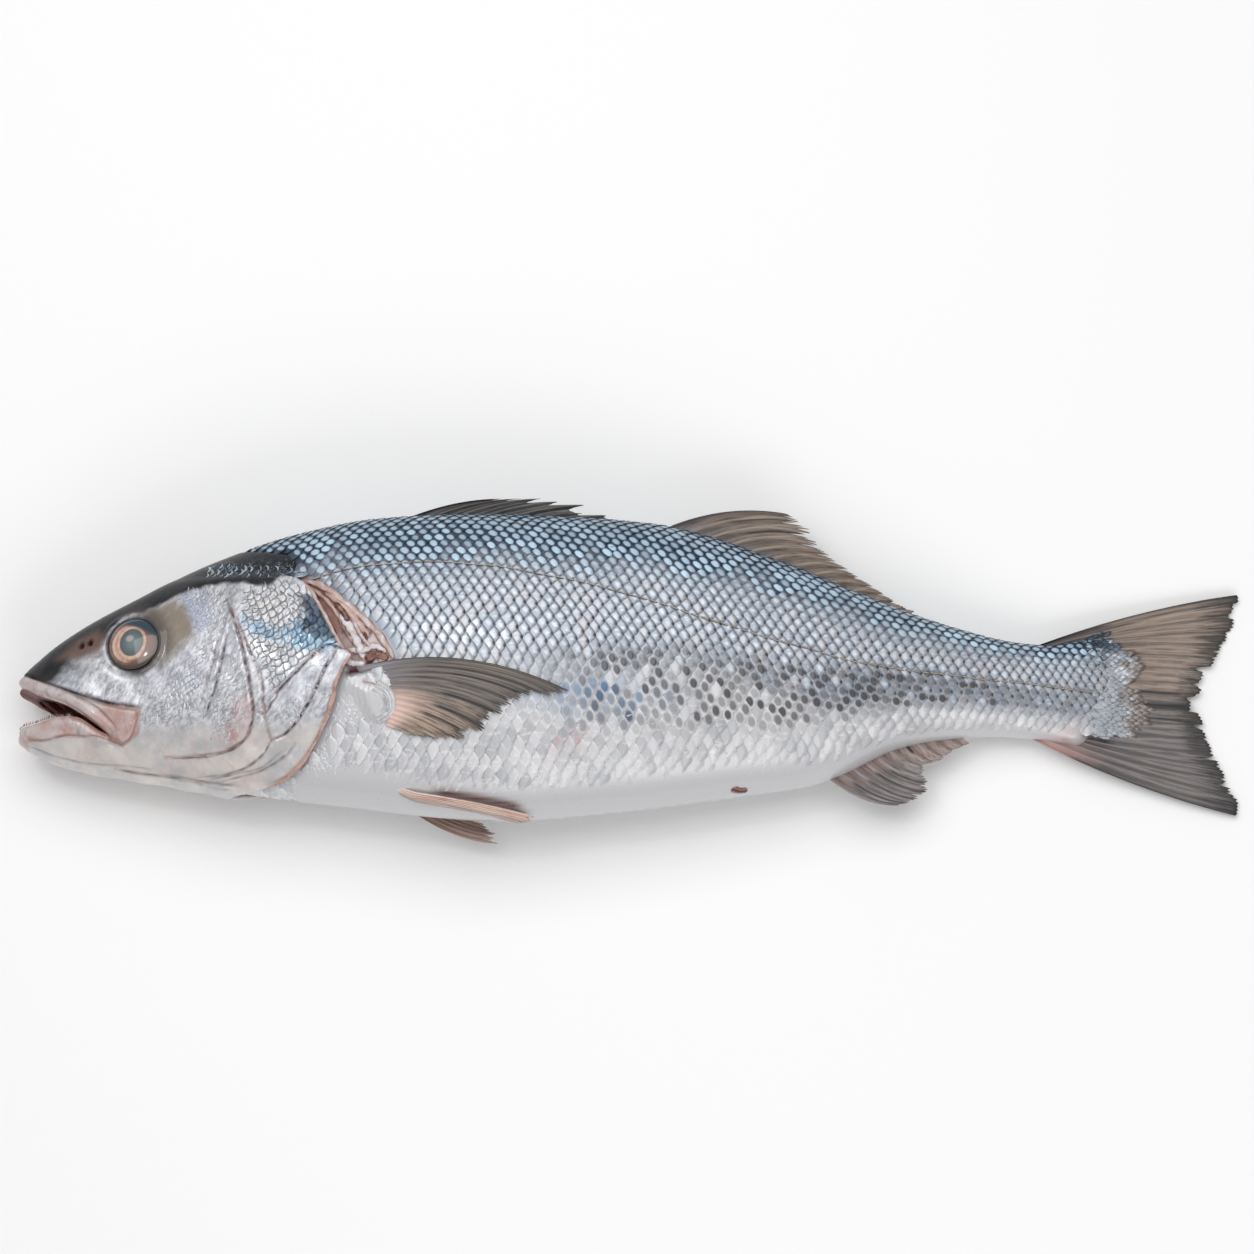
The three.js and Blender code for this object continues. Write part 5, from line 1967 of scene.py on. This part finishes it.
def make_eye_finish():
    eye = Finish("clouded_eye")
    ex, ey = eye.paints("eye_x", "eye_y")
    oval = ((ex / 4.3) ** 2 + ((ey - 0.2) / 5.0) ** 2) ** 0.5
    out = ((ex / 8.5) ** 2 + (ey / 8.2) ** 2) ** 0.5
    radial = eye.noise(420, 4, 0.65)
    cloud = eye.noise(160, 3, 0.6)
    pupil = oval.between(0.15, 1.0).tint((0.155, 0.195, 0.205), (0.085, 0.115, 0.125))
    # Painted highlight: a soft pale spot on the upper left of the pupil.
    pupil_highlight = 1 - (((ex + 0.7) / 2.0) ** 2 + ((ey - 1.7) / 1.7) ** 2).between(0.05, 1.0)
    pupil = (pupil_highlight * 0.65).tint(pupil, (0.50, 0.46, 0.44))
    copper = radial.between(0.3, 0.7).tint((0.34, 0.165, 0.115), (0.57, 0.335, 0.25))
    rust = (out + (cloud - 0.5) * 0.4 + ex * 0.045).between(0.72, 0.98)
    iris = rust.tint(copper, (0.17, 0.075, 0.055))
    cream = (1 - (oval - 1.20).size().between(0.02, 0.20)) * (0.10 + radial * 0.7)
    iris = cream.cap_at(1.0).tint(iris, (0.70, 0.53, 0.43))
    # Painted highlight: a pale arc on the left of the iris.
    left = (1 - (out - 0.84).size().between(0.03, 0.12)) * (-ex).between(1.0, 7.0)
    iris = (left * 0.6).tint(iris, (0.72, 0.56, 0.48))
    colour = oval.between(1.0, 1.06).tint(pupil, iris)
    ring = 1 - (oval - 1.03).size().between(0.02, 0.07)
    colour = (ring * 0.85).tint(colour, (0.10, 0.10, 0.105))
    halo = (1 - (out - 0.97).size().between(0.015, 0.05)) * 0.75
    colour = halo.tint(colour, (0.11, 0.085, 0.075))
    rim = (out + (cloud - 0.5) * 0.10).between(0.93, 1.12)
    colour = rim.tint(colour, (0.062, 0.050, 0.045))
    crescent = ((ex * 0.5 + ey) / 9.0 + out * 0.25).between(0.80, 1.10)
    colour = crescent.tint(colour, (0.022, 0.050, 0.070))
    return eye.shade(Base_Color=colour, Roughness=0.16 + cloud * 0.08, Coat_Weight=1.0,
                     Coat_Roughness=0.03, IOR=1.38, Normal=eye.relief(cloud, 0.0001, 0.15))


eye_finish = make_eye_finish()


def build_eye(name, side):
    x0, y0 = np.array(EYE_AT[0]), np.array(EYE_AT[1])
    angle = angle_at(x0, y0)
    centre, normal = skin_raw(x0, angle), skin_normal(x0, angle)
    across = np.array([1.0, 0, 0]) - normal * normal[0]
    across /= np.linalg.norm(across)
    upward = np.cross(normal, across)
    rings, count = 44, 96
    radius = np.linspace(0.02, 1, rings) * 9.9
    turn = np.linspace(0, 2 * np.pi, count, endpoint=False)
    r, t = np.meshgrid(radius, turn, indexing="ij")
    ex, ey = r * np.cos(t), r * np.sin(t)
    dome = -1.75 + 2.9 * np.sqrt(np.clip(1 - (r / 10.4) ** 2, 0, 1))
    points = (centre + across * ex[..., None] + upward * ey[..., None]
              + normal * dome[..., None])
    if side < 0:
        points[..., 2] = 2 * mid_height(points[..., 0]) - points[..., 2]
        points[..., 2] = np.maximum(points[..., 2], 0.5)
    flat = points.reshape(-1, 3)
    back = centre - normal * 4
    if side < 0:
        back = np.array([back[0], back[1], 2 * mid_height(back[0]) - back[2]])
    hub = len(flat)
    last = hub - count
    faces = grid_faces(rings, count, closed=True).tolist() + [tuple(range(count))[::-1]]
    faces += [(hub, last + j, last + (j + 1) % count) for j in range(count)]
    make_piece(name, np.concatenate([flat, back[None]]), faces, eye_finish,
               {"eye_x": np.append(ex, 0), "eye_y": np.append(ey, 9)})


build_eye("eye_left", 1)
build_eye("eye_right", -1)

# %% [markdown]
# ## Teeth and tongue
#
# This fish has rows of tiny pointed teeth along both jaws, and a flat tongue. The teeth are small
# cones that lean inward. They hardly show from above, but they roughen the jaw's edge.

# %% Build the teeth and the tongue


def make_tooth_finish():
    tooth = Finish("small_tooth")
    tip = tooth.paint("way")
    mottle = tooth.noise(900, 2, 0.5)
    colour = tip.tint((0.16, 0.09, 0.075), (0.42, 0.34, 0.28))
    colour = (mottle.between(0.45, 0.7) * 0.4).tint(colour, (0.16, 0.11, 0.09))
    return tooth.shade(Base_Color=colour, Roughness=0.25 + mottle * 0.1, Coat_Weight=0.6,
                       Coat_Roughness=0.08, IOR=1.5)


UPPER_TEETH = rounded([
    (-221.5, -9.2), (-218.8, -10.2), (-213.5, -12.2), (-208.1, -14.8), (-203, -18)], 8)
LOWER_TEETH = rounded([
    (-225.9, -23.0), (-224.3, -22.0), (-222.2, -21.5), (-218.9, -20.8), (-215.3, -19.7),
    (-211.9, -18.9), (-207.7, -19.4), (-204, -20.6)], 8)


def build_teeth():
    points, faces, way = [], [], []
    for line, upward in ((UPPER_TEETH, -1), (LOWER_TEETH, 1)):
        for side in (1, -1):
            for x, y in curve_through(line)(np.linspace(0.02, 0.98, 30)):
                x = x + rng.normal(0, 0.15)
                half = float(skin_raw(x, angle_at(x, y))[2] - mid_height(x))
                z = float(mid_height(x)) + side * (half - 1.3 - rng.uniform(0, 0.5))
                tall, wide = rng.uniform(0.45, 0.95), rng.uniform(0.20, 0.30)
                root = np.array([x, y - upward * 0.55, z])
                tip = root + np.array([rng.normal(0, 0.12), upward * (0.55 + tall), -side * 0.3])
                start = len(points)
                for middle, radius in ((root, wide), ((root + tip) / 2, wide * 0.7)):
                    points += [middle + [radius * math.cos(turn), 0, radius * math.sin(turn)]
                               for turn in np.arange(6) * np.pi / 3]
                points.append(tip)
                way += [0.0] * 6 + [0.6] * 6 + [1.0]
                for k in range(6):
                    n = (k + 1) % 6
                    faces.append((start + k, start + n, start + 6 + n, start + 6 + k))
                    faces.append((start + 6 + k, start + 6 + n, start + 12))
                faces.append(tuple(start + k for k in range(6)))
    make_piece("teeth", points, faces, make_tooth_finish(), {"way": way})


build_teeth()


def build_tongue():
    points, faces = ball_mesh(np.array([-206.5, -23.0, 21.0]), np.array([10.5, 3.0, 5.2]), 26, 40)
    points[:, 1] += 0.9 * bell(points[:, 2] - 21, 1.2) * -0.6
    # Painted shade on the tongue, darker toward its rear.
    inner_shade = 0.35 + 0.4 * soft(points[:, 0], -214, -200)
    make_piece("tongue", points, faces, mouth_lining, {"inner_shade": inner_shade})


build_tongue()

# %% [markdown]
# ## Small marks: membranes in the mouth and the vent
#
# Pale folds of skin hang inside the upper jaw, and the vent is a short dark slit with a pink rim.
# They are too small for the body's grid, so they are ribbons of their own.

# %% Membranes and vent


def in_space(points):
    """A surface for sweeps whose line is already in space."""
    path = curve_through(points)
    return lambda share, _: (path(share), facing_up(share))


def free_cord(points, width, rise):
    share = np.linspace(0, 1, 30)
    return sweep(np.stack([share, share], -1), in_space(points), width, rise, drift=0.12)


make_cords(
    "mouth_membranes",
    [free_cord([(-221, -9.5, 26), (-216.5, -13.2, 21), (-211, -17.6, 16)], 0.7, 0.35),
     free_cord([(-222, -10, 21), (-218, -13.6, 16.5), (-213.4, -16.6, 13.5)], 0.6, 0.30),
     free_cord([(-217, -9.6, 27), (-210.5, -14.2, 22), (-204.5, -19.2, 18)], 0.6, 0.30)],
    tissue_finish, [0.75, 0.95, 0.85])
VENT = [(36.6, -46.3), (39.2, -46.9), (42.4, -46.6)]
make_cords(
    "vent",
    [sweep(rounded(VENT, 8), side_surface(trunk_height), 1.7, 0.50, 0.05, 12, 0.15),
     sweep(rounded(VENT, 8), side_surface(trunk_height), 0.8, 0.55, 0.28, 12, 0.2)],
    tissue_finish, [0.72, 1.25])

# %% [markdown]
# ## Camera
#
# The camera looks down on the fish, tilted ten degrees, so that a little more of the belly shows
# than of the back. A long lens keeps the tail as large as the head.

# %% Camera
TILT = math.radians(10)
TARGET = Vector((-0.00196, 0.015, 0.026))
AWAY = 1.7399
camera_data = bpy.data.cameras.new("camera")
camera_data.lens = 135
camera_data.sensor_width = 36
camera = add_object("camera", camera_data)
camera.location = TARGET + Vector((0, -AWAY * math.sin(TILT), AWAY * math.cos(TILT)))
camera.rotation_euler = (TILT, 0, 0)
bpy.context.scene.camera = camera
print("camera at", tuple(round(value, 3) for value in camera.location))

# %% [markdown]
# ## Light and floor
#
# Wet skin shows what it reflects. One large soft light from the back of the fish gives the broad
# sheen, one from the belly side fills the shadows, and a small one puts the crisp glints on the
# scales and the eye. The floor is plain and pale.

# %% Lights, surroundings and floor


def add_light(name, at, size, power):
    data = bpy.data.lights.new(name, "AREA")
    data.shape = "RECTANGLE"
    data.size, data.size_y = size
    data.energy = power
    lamp = add_object(name, data)
    lamp.location = at
    lamp.rotation_euler = (-Vector(at)).to_track_quat("-Z", "Y").to_euler()


add_light("overhead", (-0.1, 0.45, 1.15), (1.5, 1.1), 11.2)
add_light("side", (0.35, -0.95, 0.75), (1.2, 0.5), 5.0)
add_light("sparkle", (-0.5, 0.30, 1.3), (0.14, 0.14), 1.0)
studio = bpy.data.worlds.new("studio")
studio.use_nodes = True
studio.node_tree.nodes["Background"].inputs["Color"].default_value = (1, 1, 1, 1)
studio.node_tree.nodes["Background"].inputs["Strength"].default_value = 0.38
bpy.context.scene.world = studio
bpy.context.scene.view_settings.view_transform = "Standard"

FAR = 9000
floor = mesh_object("floor", [(-FAR, -FAR, 0), (FAR, -FAR, 0), (FAR, FAR, 0), (-FAR, FAR, 0)],
                    [(0, 1, 2, 3)],
                    Finish("pale_floor").shade(Base_Color=(0.90, 0.90, 0.90), Roughness=0.8))
